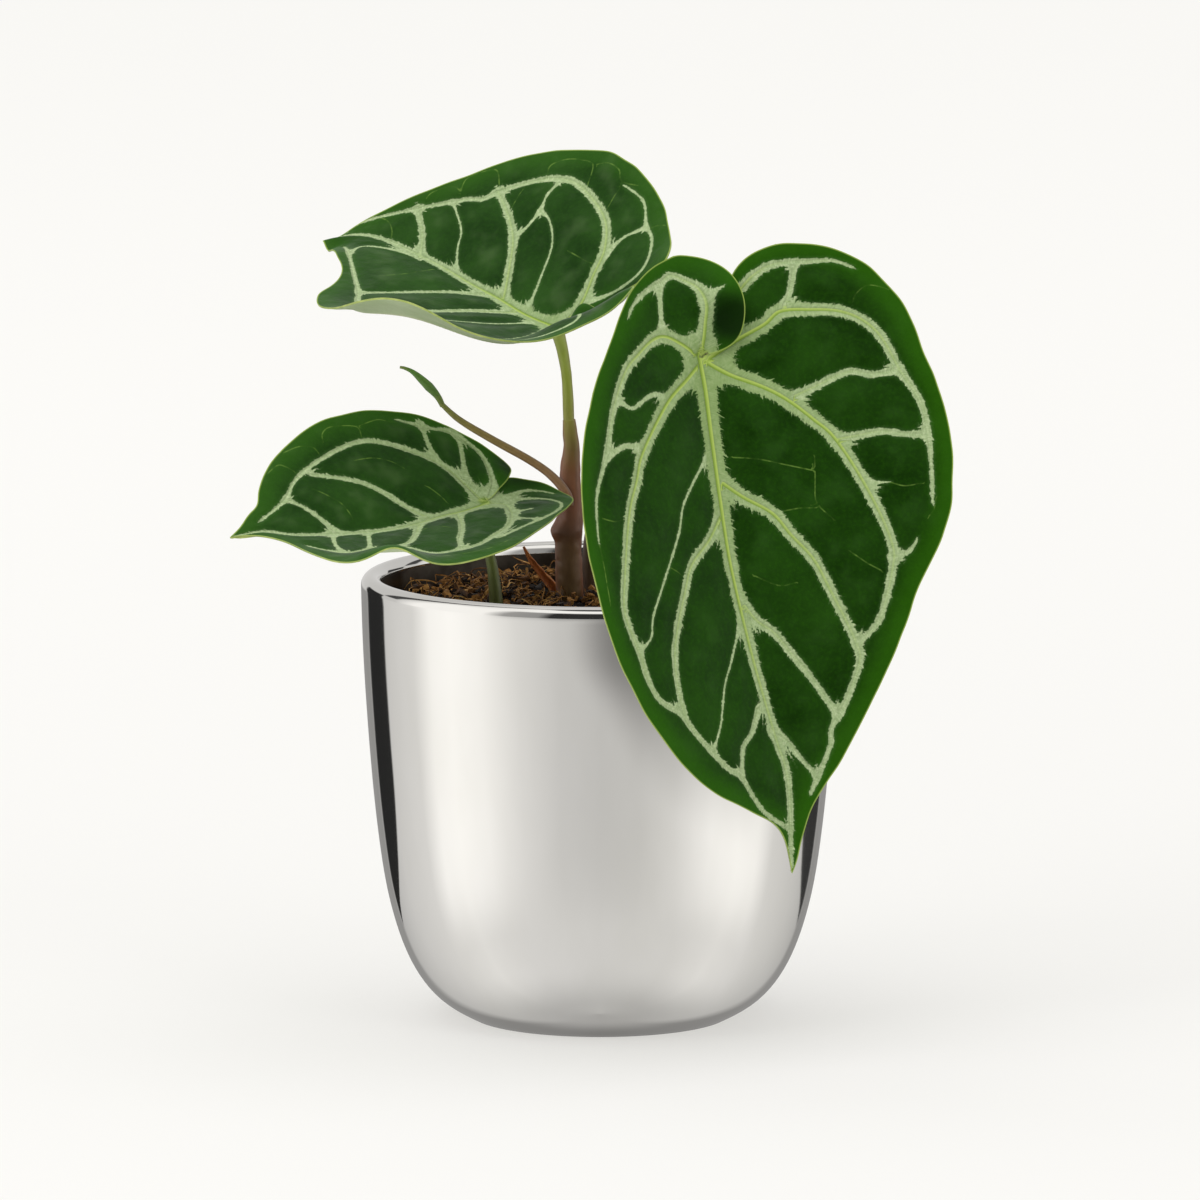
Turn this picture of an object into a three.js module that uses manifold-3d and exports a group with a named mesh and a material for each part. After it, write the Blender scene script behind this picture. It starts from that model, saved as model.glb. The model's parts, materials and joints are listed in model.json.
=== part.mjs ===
// Anthurium crystallinum in a mirror-plated pot: pot, soil, short stem, three heart-shaped leaves on
// their petioles, one young leaf still rolled, and a dried sheath at the foot of the stem.
// Millimetres, +Z up. The origin is the centre of the pot's flat foot, and the plant faces -Y.

import * as THREE from 'three';
import { mergeVertices } from 'three/addons/utils/BufferGeometryUtils.js';
import Module from 'manifold-3d';

const wasm = await Module();
wasm.setup();

// ---------------------------------------------------------------- driving dimensions

const potHeight = 131;
const potRadius = 70;
const potFootRadius = 38;
const potWall = 6.2;
const potFloor = 8;
const potSegments = 56;

const soilLevel = 123.4;
const holeDepth = 14;
const gap = 0.3;
const chipCount = 54;
const chipSize = { length: [3.5, 7.5], width: [2, 4.2], height: [2, 3.6], tilt: 0.45 };
const fibreSize = { length: [9, 14], width: [1, 1], height: [1, 1], tilt: 0.1 };

const bladeThickness = 1;
const bladeEdge = 0.7;
const edgeShare = 0.08;
const midribDepth = 1.2;
const lateralDepth = 0.4;
const rowsPerLateral = 3;
const midribWidth = 3.4;
const midribTaper = 0.75;
const foldSoftness = 3;
const rippleClearance = 3;
const jointKnob = 2.4;
const bladeTolerance = 0.01;

// Where each stalk stands in the soil, and how thick it is there.
const stemFoot = { at: [-8.8, -2], radius: 4 };
const bigPetioleFoot = { at: [-3, 3.5], radius: 2.3 };
const lowPetioleFoot = { at: [-30.2, -21], radius: 2.1 };
const sheathFoot = { at: [-12.6, 6.5], radius: 1.9 };

// ---------------------------------------------------------------- meshes and solids

// Corners in one place become one, and triangles that lose an edge by it are left out.
function closedGeometry(geometry) {
  const bare = geometry.clone();
  bare.deleteAttribute('normal');
  bare.deleteAttribute('uv');
  const merged = mergeVertices(bare, 1e-3);
  const corners = merged.index.array;
  const kept = [];
  for (let i = 0; i < corners.length; i += 3) {
    const [a, b, c] = corners.slice(i, i + 3);
    if (a !== b && b !== c && c !== a) {
      kept.push(a, b, c);
    }
  }
  merged.setIndex(kept);
  return merged;
}

function solid(geometry) {
  const closed = closedGeometry(geometry);
  return new wasm.Manifold(new wasm.Mesh({
    numProp: 3,
    vertProperties: new Float32Array(closed.attributes.position.array),
    triVerts: new Uint32Array(closed.index.array),
  }));
}

// The geometry of a solid, without the specks that cutting and joining can leave beside it.
function geometryOf(manifold) {
  const [body] = manifold.decompose().sort((a, b) => b.volume() - a.volume());
  const mesh = body.getMesh();
  const geometry = new THREE.BufferGeometry();
  geometry.setAttribute('position', new THREE.BufferAttribute(mesh.vertProperties, 3));
  geometry.setIndex(new THREE.BufferAttribute(mesh.triVerts, 1));
  geometry.computeVertexNormals();
  return geometry;
}

function geometryFrom(points, triangles) {
  const geometry = new THREE.BufferGeometry();
  const flat = points.flatMap((p) => [p.x, p.y, p.z]);
  geometry.setAttribute('position', new THREE.Float32BufferAttribute(flat, 3));
  geometry.setIndex(triangles);
  return geometry;
}

// A profile of (radius, height) points, spun round Z.
function turned(profile, segments) {
  const lathe = new THREE.LatheGeometry(profile, segments);
  lathe.rotateX(Math.PI / 2);
  return lathe;
}

function curveThrough(points) {
  return new THREE.SplineCurve(points.map((p) => new THREE.Vector2(...p)));
}

function smoothProfile(points, steps) {
  return curveThrough(points).getSpacedPoints(steps);
}

// A stalk: rings of its own radius along a smooth curve, closed at both ends. flat narrows it one way.
function stalk(route, radii, { sides = 10, steps = 20, flat = 1 } = {}) {
  const curve = new THREE.CatmullRomCurve3(route.map((p) => new THREE.Vector3(...p)));
  const girth = new THREE.SplineCurve(radii.map((r, i) => new THREE.Vector2(i, r)));
  const frames = curve.computeFrenetFrames(steps, false);
  const points = [];
  const triangles = [];
  for (let i = 0; i <= steps; i++) {
    const centre = curve.getPointAt(i / steps);
    const radius = girth.getPoint(i / steps).y;
    for (let k = 0; k < sides; k++) {
      const turn = (k / sides) * Math.PI * 2;
      const across = frames.normals[i].clone().multiplyScalar(Math.cos(turn) * radius);
      const along = frames.binormals[i].clone().multiplyScalar(Math.sin(turn) * radius * flat);
      points.push(centre.clone().add(across).add(along));
    }
  }
  for (let i = 0; i < steps; i++) {
    for (let k = 0; k < sides; k++) {
      const a = i * sides + k;
      const b = i * sides + ((k + 1) % sides);
      triangles.push(a, b, b + sides, a, b + sides, a + sides);
    }
  }
  const last = steps * sides;
  for (let k = 1; k < sides - 1; k++) {
    triangles.push(0, k + 1, k, last, last + k, last + k + 1);
  }
  return geometryFrom(points, triangles);
}

// ---------------------------------------------------------------- pot

// A deep bowl that turns into a wall leaning out a little, with a round rim.
const rimHeight = potHeight - potWall / 2;
const outerWall = [
  [potFootRadius, 0], [46, 3.8], [51, 8.8], [55, 14.8], [58, 21.4], [61.8, 34], [64, 46],
  [66.3, 65], [68.2, 88], [69.5, 110], [potRadius, rimHeight],
];
const innerWall = [
  [potRadius - potWall, rimHeight], [62.9, 104], [61.4, 80], [59.6, 62], [57, 45], [52.5, 29],
  [46, 19], [37, 12], [24, potFloor + 1], [0, potFloor],
];

function makePot() {
  const rimArc = [];
  for (let i = 1; i < 6; i++) {
    const turn = (i / 6) * Math.PI;
    const radius = potRadius - (1 - Math.cos(turn)) * potWall / 2;
    rimArc.push(new THREE.Vector2(radius, rimHeight + Math.sin(turn) * potWall / 2));
  }
  const profile = [
    new THREE.Vector2(0, 0),
    ...smoothProfile(outerWall, 15),
    ...rimArc,
    ...smoothProfile(innerWall, 10),
  ];
  return closedGeometry(turned(profile, potSegments));
}

// ---------------------------------------------------------------- soil

const feet = [stemFoot, bigPetioleFoot, lowPetioleFoot, sheathFoot];
const wallGap = 0.8;
const soilRadius = potRadius - potWall - wallGap - 0.5;

// Seeded, so that the chips lie the same way every time.
function seededRandom(seed) {
  let state = seed;
  return () => {
    state = (state * 1664525 + 1013904223) % 4294967296;
    return state / 4294967296;
  };
}

// Low mounds, lower towards the wall.
function soilHeight(x, y) {
  const broad = Math.sin(x * 0.17 + 1.3) * Math.cos(y * 0.21 - 0.4);
  const fine = Math.sin(x * 0.41 - y * 0.33);
  const dip = 0.08 * Math.max(0, Math.hypot(x, y) - 46);
  return soilLevel + 0.7 * broad + 0.42 * fine - dip;
}

function makeSoilBody() {
  const side = smoothProfile(innerWall.slice(1), 9)
    .map((p) => new THREE.Vector2(Math.max(0, p.x - wallGap), p.y + wallGap))
    .reverse();
  const rings = [];
  for (let i = 0; i <= 8; i++) {
    rings.push(new THREE.Vector2(soilRadius * (1 - i / 8), soilLevel));
  }
  const body = turned([...side, ...rings], potSegments / 2);
  const position = body.attributes.position;
  for (let i = 0; i < position.count; i++) {
    if (Math.abs(position.getZ(i) - soilLevel) < 0.01) {
      position.setZ(i, soilHeight(position.getX(i), position.getY(i)));
    }
  }
  return solid(body);
}

// Bark chips, and every third one a coir fibre, sunk into the surface.
function makeChips() {
  const random = seededRandom(41);
  const chips = [];
  while (chips.length < chipCount) {
    const size = chips.length % 3 === 2 ? fibreSize : chipSize;
    const between = ([low, high]) => low + random() * (high - low);
    const turn = between([0, Math.PI * 2]);
    const reach = Math.sqrt(random()) * (soilRadius - 8);
    const [x, y] = [Math.cos(turn) * reach, Math.sin(turn) * reach];
    const length = between(size.length);
    const width = between(size.width);
    const height = between(size.height);
    const tilt = between([-size.tilt, size.tilt]);
    const heading = between([0, Math.PI * 2]);
    const room = gap + 1 + length / 2;
    if (feet.every((f) => Math.hypot(x - f.at[0], y - f.at[1]) > f.radius + room)) {
      const chip = new THREE.BoxGeometry(length, width, height);
      chip.rotateY(tilt);
      chip.rotateZ(heading);
      chip.translate(x, y, soilHeight(x, y) + height * 0.1);
      chips.push(solid(chip));
    }
  }
  return chips;
}

// A plain round hole for each stalk.
function makeHole(foot) {
  const tall = holeDepth + 12;
  const radius = foot.radius + gap + 0.1;
  const hole = new THREE.CylinderGeometry(radius, radius, tall, 16);
  hole.rotateX(Math.PI / 2);
  hole.translate(foot.at[0], foot.at[1], soilLevel - holeDepth - gap + tall / 2);
  return solid(hole);
}

function makeSoil() {
  const heap = wasm.Manifold.union([makeSoilBody(), ...makeChips()]);
  return geometryOf(heap.subtract(wasm.Manifold.union(feet.map(makeHole))));
}

// ---------------------------------------------------------------- leaf blades

// Each blade is laid out flat: u across, v along from the joint to the tip. The leaf plane stands at the
// joint, its v axis along tipDirection and its normal turned by roll from the most upright one, and a
// height along that normal bends the blade: folded up on both sides of the midrib, drooping along it,
// nodding at the tip, curled at a margin, and rippled. The left half is on the side of -u.

const bigBlade = {
  joint: [29.5, -38, 200.2],
  tipDirection: [27.2, -44, -134],
  roll: -26,
  midrib: [
    [0, 0], [-1.5, 24], [-3, 48], [-2, 72], [-1, 92], [1.5, 108], [3.5, 126], [3.5, 138], [1, 152],
  ],
  droop: -0.045,
  left: {
    fold: 0.36,
    sinus: [[5, 0], [10, -2.5], [12, -9], [12, -16], [10, -23], [5, -28], [-2, -30.5]],
    shoulder: [[-10, -27.5], [-19, -22], [-28, -11.5], [-37, 1.5]],
    flank: [
      [-45, 14.5], [-51, 30], [-54, 44], [-54.5, 60], [-52, 82], [-46, 100], [-36.5, 116], [-25, 127],
      [-14, 132.5], [-4, 137], [0, 141.5],
    ],
    ripples: [{ at: [8, -14], height: 7, reach: 13 }],
  },
  right: {
    fold: 0.34,
    sinus: [[3.5, -1], [7.5, -4], [9.5, -9], [10, -15], [12.5, -22], [18.5, -27], [27, -29]],
    shoulder: [[36, -27], [45, -22.5], [53, -14], [58.5, -2], [60.5, 9.5]],
    flank: [
      [63, 25], [63, 39], [60, 55], [54, 68], [47.5, 77], [41.5, 89], [33, 103], [22, 119], [12, 131],
      [6.5, 140], [3, 149],
    ],
  },
};

const topBlade = {
  joint: [-12.6, 2, 203.4],
  tipDirection: [-68.3, 50, 17],
  roll: -25,
  midrib: [[0, 0], [-2, 18], [-5, 36], [-9, 54], [-12, 72], [-12, 84], [-7, 94]],
  droop: 0,
  rise: 1.5,
  nod: { amount: 0.55, from: 68 },
  left: {
    fold: 0.45,
    sinus: [[-2.5, -1.2], [-7, -4.5], [-12, -9], [-16.5, -14], [-18.5, -20], [-21.5, -26]],
    shoulder: [[-28.7, -22.8], [-36, -16.5], [-42.7, -10], [-48.6, -2.5]],
    flank: [
      [-52.1, 4.8], [-55, 14], [-55.5, 22], [-51.5, 39], [-46.5, 50], [-38, 62], [-27, 76.5], [-15, 89],
    ],
    ripples: [{ at: [-6, 97], height: -4, reach: 12 }],
  },
  right: {
    fold: 0.3,
    curl: { amount: 1.45, from: 12, at: 6, reach: 31 },
    sinus: [[-1.5, -2], [-5, -5.5], [-6, -12], [-5.5, -20], [-3.5, -28], [2, -33]],
    shoulder: [[12, -31], [21, -25.5], [31, -17.5], [40, -7]],
    flank: [
      [47, 6], [50, 22], [50, 36], [45.5, 50], [36, 59], [25, 62.5], [16.5, 66.5], [10.5, 72], [3.5, 80],
      [-3, 88],
    ],
    ripples: [
      { at: [12, -18], height: 9, reach: 14 }, { at: [0, -30], height: 8, reach: 9 },
      { at: [-4, -7], height: 5, reach: 4 }, { at: [34, -12], height: 2.6, reach: 13 },
      { at: [-6, 97], height: -4, reach: 12 },
    ],
  },
};

const lowBlade = {
  joint: [-33.6, -21, 155.3],
  tipDirection: [-74, -40, -5],
  roll: -25,
  midrib: [[0, 0], [3.5, 16], [6, 31], [6.5, 42], [5, 54], [3, 63], [-0.5, 73], [0, 83]],
  droop: 0,
  left: {
    fold: 0.3,
    sinus: [[-1.5, -1.7], [-4, -5], [-5.7, -9.5], [-9.5, -13.5]],
    shoulder: [[-18.5, -10.3], [-28.8, -1.6]],
    flank: [
      [-34.5, 8], [-36.8, 21], [-35.5, 36], [-30, 49], [-24, 59], [-15.5, 67], [-10, 69.5], [-8.4, 73],
      [-5, 76.5],
    ],
    ripples: [{ at: [-7, -9], height: 2, reach: 7 }],
  },
  right: {
    fold: 0.3,
    sinus: [[-4, -5], [-7, -11], [-5, -16], [-3, -22], [1, -25.5]],
    shoulder: [[8, -25.5], [14.5, -18.5], [21.5, -11]],
    flank: [
      [30, 0], [37.5, 11.5], [41.5, 24], [42.5, 37], [42, 45], [38, 52], [37.5, 59], [34, 63], [27.5, 65.5],
      [17, 68], [8, 69], [2, 73], [0, 79],
    ],
    ripples: [{ at: [38, 51], height: 7, reach: 10 }],
  },
};

function leafFrame(blade) {
  const along = new THREE.Vector3(...blade.tipDirection).normalize();
  const upright = Math.abs(along.z) < 0.8 ? new THREE.Vector3(0, 0, 1) : new THREE.Vector3(0, -1, 0);
  const steepest = upright.addScaledVector(along, -upright.dot(along)).normalize();
  const normal = steepest.applyAxisAngle(along, THREE.MathUtils.degToRad(blade.roll));
  const across = normal.clone().cross(along);
  return { origin: new THREE.Vector3(...blade.joint), across, along, normal };
}

// The midrib's u at a given v, read from its smooth curve.
function midribAt(blade, v) {
  const curve = blade.midribCurve;
  for (let i = 1; i < curve.length; i++) {
    if (v < curve[i].y) {
      const share = (v - curve[i - 1].y) / (curve[i].y - curve[i - 1].y);
      return curve[i - 1].x + (curve[i].x - curve[i - 1].x) * Math.max(0, share);
    }
  }
  return curve[curve.length - 1].x;
}

function heightAt(blade, half, u, v) {
  const away = Math.abs(u - midribAt(blade, v));
  const shape = blade[half];
  let height = shape.fold * (Math.hypot(away, foldSoftness) - foldSoftness);
  height += (v > 0 ? blade.droop : blade.rise ?? 0) * v * v / 100;
  if (blade.nod) {
    height -= blade.nod.amount * Math.max(v - blade.nod.from, 0) ** 2 / 100;
  }
  if (shape.curl) {
    const { amount, from, at, reach } = shape.curl;
    height += amount * Math.max(away - from, 0) ** 2 / 100 * Math.exp(-(((v - at) / reach) ** 2));
  }
  // A ripple fades out towards the midrib, which both halves share.
  const clear = Math.hypot(away, Math.min(v, 0)) / rippleClearance;
  const fade = 1 - Math.exp(-(clear ** 2));
  for (const ripple of shape.ripples ?? []) {
    const distance = Math.hypot(u - ripple.at[0], v - ripple.at[1]);
    height += fade * ripple.height * Math.exp(-((distance / ripple.reach) ** 2));
  }
  return height;
}

function pointOn(blade, half, u, v) {
  const { origin, across, along, normal } = blade.frame;
  return origin.clone()
    .addScaledVector(across, u)
    .addScaledVector(along, v)
    .addScaledVector(normal, heightAt(blade, half, u, v));
}

function normalOn(blade, half, u, v) {
  const step = 0.1;
  const du = pointOn(blade, half, u + step, v).sub(pointOn(blade, half, u - step, v));
  const dv = pointOn(blade, half, u, v + step).sub(pointOn(blade, half, u, v - step));
  return dv.cross(du).normalize();
}

// One half of a blade as a closed solid. Its rows run from an inner curve (lobe top, down the sinus to
// the joint, along the midrib to the tip) to an outer one (lobe top, shoulder, flank, tip). Beneath it
// the midrib stands out, and every third row is a low rib.
function makeHalf(blade, half, lobeRows, mainRows) {
  const shape = blade[half];
  const lobeTop = shape.sinus[shape.sinus.length - 1];
  const tip = blade.midrib[blade.midrib.length - 1];
  const sinus = curveThrough([[0, 0], ...shape.sinus]).getSpacedPoints(lobeRows).reverse();
  const shoulder = curveThrough([lobeTop, ...shape.shoulder]).getSpacedPoints(lobeRows);
  const midrib = curveThrough(blade.midrib).getSpacedPoints(mainRows);
  const flank = curveThrough([shape.shoulder[shape.shoulder.length - 1], ...shape.flank, tip])
    .getSpacedPoints(mainRows);
  const inner = [...sinus, ...midrib.slice(1)];
  const outer = [...shoulder, ...flank.slice(1)];
  const shares = [0, 0.035, 0.1, 0.21, 0.34, 0.48, 0.62, 0.75, 0.87, 0.95, 1];

  const points = [];
  const rows = inner.length - 1;
  const columns = shares.length - 1;
  const length = tip[1];
  for (const face of [1, -1]) {
    for (let i = 0; i <= rows; i++) {
      for (const share of shares) {
        const { x: u, y: v } = inner[i].clone().lerp(outer[i], share);
        // Both halves take the midrib's own points and the tip from the same one.
        const isShared = i === rows || (share === 0 && i >= lobeRows);
        const side = isShared ? 'left' : half;
        const margin = Math.min(share, 1 - share, i / rows, 1 - i / rows);
        const fullness = Math.min(1, margin / edgeShare);
        let depth = (bladeEdge + (bladeThickness - bladeEdge) * fullness) / 2;
        if (face < 0 && i >= lobeRows) {
          const slender = 1 - midribTaper * v / length;
          const aside = (u - midribAt(blade, v)) / (midribWidth / 2);
          depth += midribDepth * slender * Math.exp(-(aside ** 2));
        }
        if (face < 0 && i % rowsPerLateral === 0 && i > 0 && i < rows) {
          depth += lateralDepth * Math.sin(Math.PI * share);
        }
        const point = pointOn(blade, side, u, v).addScaledVector(normalOn(blade, side, u, v), depth * face);
        points.push(new THREE.Vector3(...point.toArray().map((c) => Math.round(c * 1000) / 1000)));
      }
    }
  }

  const at = (face, i, j) => (face < 0 ? (rows + 1) * (columns + 1) : 0) + i * (columns + 1) + j;
  const triangles = [];
  const quad = (a, b, c, d) => triangles.push(a, b, c, a, c, d);
  for (let i = 0; i < rows; i++) {
    for (let j = 0; j < columns; j++) {
      quad(at(1, i, j), at(1, i, j + 1), at(1, i + 1, j + 1), at(1, i + 1, j));
      quad(at(-1, i, j), at(-1, i + 1, j), at(-1, i + 1, j + 1), at(-1, i, j + 1));
    }
    quad(at(1, i, 0), at(1, i + 1, 0), at(-1, i + 1, 0), at(-1, i, 0));
    quad(at(1, i, columns), at(-1, i, columns), at(-1, i + 1, columns), at(1, i + 1, columns));
  }
  if (half === 'right') {
    triangles.reverse();
  }
  return solid(geometryFrom(points, triangles));
}

// Both halves, joined along the midrib, and by a small knob where the petiole comes in.
function makeBlade(blade, lobeRows, mainRows) {
  blade.frame = leafFrame(blade);
  blade.midribCurve = curveThrough(blade.midrib).getPoints(96);
  const halves = ['left', 'right'].map((half) => makeHalf(blade, half, lobeRows, mainRows));
  const knob = new THREE.SphereGeometry(jointKnob, 12, 8);
  knob.translate(...approach(blade, jointKnob / 2));
  return geometryOf(wasm.Manifold.union([...halves, solid(knob)]).simplify(bladeTolerance));
}

// Where a petiole meets the underside of its blade, with the last bit of its way there.
function approach(blade, distance) {
  const { origin, normal } = blade.frame;
  return origin.clone().addScaledVector(normal, -distance).toArray();
}

// ---------------------------------------------------------------- stem, petioles, young leaf, sheath

const stemTop = 177;
const underJoint = jointKnob * 1.5 + gap;

// The stem is round at its foot, swells at a node with an old leaf scar on its left, and ends as the
// sheath round the topmost petiole.
function makeStem() {
  const [x, y] = stemFoot.at;
  const shaft = stalk(
    [
      [x, y, soilLevel - holeDepth], [x, y, 125], [-9.5, -2, 138.5], [-9.2, -2, 144.4], [-8.4, -2, 150.6],
      [-8.5, -2, 155], [-8.8, -2, 161], [-8.2, -2, 168], [-8.7, -2, 172.6], [-9.1, -2, stemTop],
    ],
    [3.95, 3.9, 3.5, 4.6, 3.1, 3, 3.25, 2.45, 2.15, 1.8],
    { sides: 14, steps: 30 },
  );
  const scar = new THREE.SphereGeometry(1, 12, 8);
  scar.scale(2.6, 2.8, 2);
  scar.translate(-11.9, -2.4, 144.2);
  return geometryOf(solid(shaft).add(solid(scar)));
}

function makeTopPetiole() {
  return closedGeometry(stalk(
    [
      [-9.2, -2, stemTop + 2 * gap], [-9.7, -0.5, 188.5], [-10.9, 3.4, 196],
      approach(topBlade, underJoint + 2 * gap),
    ],
    [1.5, 1.42, 1.5, 1.8],
    { steps: 14 },
  ));
}

function makeBigPetiole() {
  const [x, y] = bigPetioleFoot.at;
  return closedGeometry(stalk(
    [
      [x, y, soilLevel - holeDepth], [x, y, 126], [-2.6, 3.4, 140], [1, 2, 158], [7.5, -5, 176],
      approach(bigBlade, 21), approach(bigBlade, 9), approach(bigBlade, underJoint),
    ],
    [2.25, 2.25, 2.2, 1.9, 1.7, 1.6, 1.75, 2.3],
    { steps: 26 },
  ));
}

function makeLowPetiole() {
  const [x, y] = lowPetioleFoot.at;
  return closedGeometry(stalk(
    [
      [x, y, soilLevel - holeDepth], [x, y, 125], [-31.8, -20.2, 138], approach(lowBlade, 9),
      approach(lowBlade, underJoint),
    ],
    [2.05, 2, 1.55, 1.5, 1.9],
    { steps: 16 },
  ));
}

// The young leaf's petiole clasps the front of the stem and leans far out to the left.
function makeYoungPetiole() {
  return closedGeometry(stalk(
    [
      [-8.9, -6.9, 151.5], [-9.6, -7, 155], [-13, -5.2, 159.4], [-19.3, -2.5, 164], [-32.5, 0.5, 171],
      [-41.2, 1.5, 176.2], [-46, 2, 180.4],
    ],
    [1.1, 1.25, 1.3, 1.3, 1.3, 1.25, 0.75],
    { steps: 24, sides: 8 },
  ));
}

// Its blade is still rolled up into a slender spindle.
function makeYoungBlade() {
  return closedGeometry(stalk(
    [
      [-46.3, 2, 180.9], [-47.7, 2, 183.4], [-50.3, 2, 186.3], [-54.4, 2, 190], [-58.3, 2, 191.6],
    ],
    [0.7, 1.15, 1.3, 0.95, 0.35],
    { steps: 16, sides: 8, flat: 0.7 },
  ));
}

// A dried leaf sheath, curled to a point.
function makeSheath() {
  const [x, y] = sheathFoot.at;
  return closedGeometry(stalk(
    [[x, y, soilLevel - 6], [x - 0.4, y, 124.5], [-17.4, 5, 130.6], [-20.4, 4.4, 134.6], [-22.4, 4, 138.3]],
    [1.7, 1.7, 1.35, 0.9, 0.35],
    { steps: 14, sides: 8, flat: 0.7 },
  ));
}

// ---------------------------------------------------------------- assembly

function part(name, geometry, colour, roughness, metalness = 0) {
  const material = new THREE.MeshStandardMaterial({ color: colour, roughness, metalness });
  material.name = name;
  const mesh = new THREE.Mesh(geometry, material);
  mesh.name = name;
  return mesh;
}

// The blades are made first, because their petioles end beneath them.
const bigBladeGeometry = makeBlade(bigBlade, 10, 24);
const topBladeGeometry = makeBlade(topBlade, 9, 19);
const lowBladeGeometry = makeBlade(lowBlade, 7, 19);

const plant = new THREE.Group();
plant.name = 'anthurium_crystallinum';
plant.add(
  part('pot', makePot(), '#c9cbcc', 0.06, 1),
  part('soil', makeSoil(), '#3a2619', 0.95),
  part('stem', makeStem(), '#5f3f33', 0.6),
  part('dried_sheath', makeSheath(), '#8a4f22', 0.8),
  part('big_petiole', makeBigPetiole(), '#5a4a2c', 0.55),
  part('big_blade', bigBladeGeometry, '#24511f', 0.5),
  part('top_petiole', makeTopPetiole(), '#7c8a3a', 0.5),
  part('top_blade', topBladeGeometry, '#2c5a28', 0.5),
  part('low_petiole', makeLowPetiole(), '#5b6a30', 0.5),
  part('low_blade', lowBladeGeometry, '#2a5626', 0.5),
  part('young_petiole', makeYoungPetiole(), '#6b5a34', 0.55),
  part('young_blade', makeYoungBlade(), '#4c7a2a', 0.5),
);

export default plant;
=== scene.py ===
import json
import math
import random
from functools import partial

import bpy
import numpy as np
from mathutils import Euler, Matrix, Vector, noise

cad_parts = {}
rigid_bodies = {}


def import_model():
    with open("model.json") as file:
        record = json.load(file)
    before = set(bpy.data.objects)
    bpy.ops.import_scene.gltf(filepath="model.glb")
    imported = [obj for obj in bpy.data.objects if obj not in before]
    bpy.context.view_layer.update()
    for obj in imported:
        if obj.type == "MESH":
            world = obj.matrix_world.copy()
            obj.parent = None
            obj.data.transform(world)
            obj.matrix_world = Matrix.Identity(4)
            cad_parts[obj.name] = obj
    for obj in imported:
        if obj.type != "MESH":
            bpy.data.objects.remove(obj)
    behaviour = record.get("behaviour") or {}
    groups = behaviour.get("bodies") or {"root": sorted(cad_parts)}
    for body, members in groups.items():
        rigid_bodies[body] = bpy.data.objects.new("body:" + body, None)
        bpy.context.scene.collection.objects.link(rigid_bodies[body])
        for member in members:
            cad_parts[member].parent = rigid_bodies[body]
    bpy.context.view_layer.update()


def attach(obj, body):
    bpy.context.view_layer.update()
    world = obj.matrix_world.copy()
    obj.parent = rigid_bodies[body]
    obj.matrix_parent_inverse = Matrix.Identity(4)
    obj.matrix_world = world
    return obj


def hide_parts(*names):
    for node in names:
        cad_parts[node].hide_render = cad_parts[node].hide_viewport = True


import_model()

MM = 0.001


# ------------------------------------------------------------------ pot
# A cup-shaped stoneware pot with a flat foot, a deep round bottom and a round rim. It is plated to a
# mirror, so nearly all that shows on it is the studio around it.
POT_OUTSIDE = [
    (38, 0), (46, 3.8), (51, 8.8), (55, 14.8), (58, 21.4), (61.8, 34), (64, 46), (66.3, 65), (68.2, 88),
    (69.5, 110), (70, 127.9),
]
POT_INSIDE = [(63.8, 127.9), (63.4, 121), (62.9, 104), (61.4, 80)]
POT_TOP = 70, 127.9
POT_RIM = 3.1
DARKER_WITHIN, DARKER_ABOVE = 63.9, 79


def even_steps(values, count):
    """The values read off at count even steps."""
    return np.interp(np.linspace(0, len(values) - 1, count), np.arange(len(values)), values)


def even_line(points, count):
    """A smooth line through the points, as count places at even steps."""
    p = np.array(points, float)
    ends = np.vstack([p[:1], p, p[-1:]])
    t = np.linspace(0, 1, 17)[:-1, None]
    bits = []
    for a, b, c, d in zip(ends, ends[1:], ends[2:], ends[3:]):
        curve = 2 * b + (c - a) * t + (2 * a - 5 * b + 4 * c - d) * t**2 + (3 * b - a - 3 * c + d) * t**3
        bits.append(0.5 * curve)
    line = np.vstack(bits + [p[-1:]])
    run = np.r_[0, np.cumsum(np.linalg.norm(np.diff(line, axis=0), axis=1))]
    at = np.linspace(0, run[-1], count)
    return np.stack([np.interp(at, run, line[:, k]) for k in range(p.shape[1])], 1)


def smooth(line, rounds):
    """Evens out the line in place, but for its two ends."""
    for _ in range(rounds):
        line[1:-1] = (line[:-2] + 2 * line[1:-1] + line[2:]) / 4


def lit(colour):
    """A screen colour (0 to 255) as light. A colour with an alpha, or from a node, stays as it is."""
    if isinstance(colour, bpy.types.NodeSocket) or len(colour) == 4:
        return colour
    shade = np.array(colour) / 255
    light = np.where(shade > 0.04045, ((shade + 0.055) / 1.055) ** 2.4, shade / 12.92)
    return (*(float(c) for c in light), 1.0)


def plug(node, inputs):
    """Gives each socket its number, or what another node puts out."""
    for key, value in inputs.items():
        if isinstance(value, bpy.types.NodeSocket):
            node.id_data.links.new(value, node.inputs[key])
        else:
            node.inputs[key].default_value = value


def add_node(tree, kind, inputs=None, **settings):
    node = tree.nodes.new(kind)
    for key, value in settings.items():
        setattr(node, key, value)
    plug(node, inputs or {})
    return node


def new_finish(name, **numbers):
    """A material and its shader, with the plain numbers set on the shader's own sockets."""
    finish = bpy.data.materials.new(name)
    finish.use_nodes = True
    shader = finish.node_tree.nodes["Principled BSDF"]
    for key, number in numbers.items():
        shader.inputs[key.replace("_", " ")].default_value = number
    return finish, finish.node_tree, shader


def calc(operation, *values):
    tree = next(v for v in values if isinstance(v, bpy.types.NodeSocket)).id_data
    return add_node(tree, "ShaderNodeMath", dict(enumerate(values)), operation=operation).outputs[0]


times, plus, minus = (partial(calc, kind) for kind in ("MULTIPLY", "ADD", "SUBTRACT"))


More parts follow.
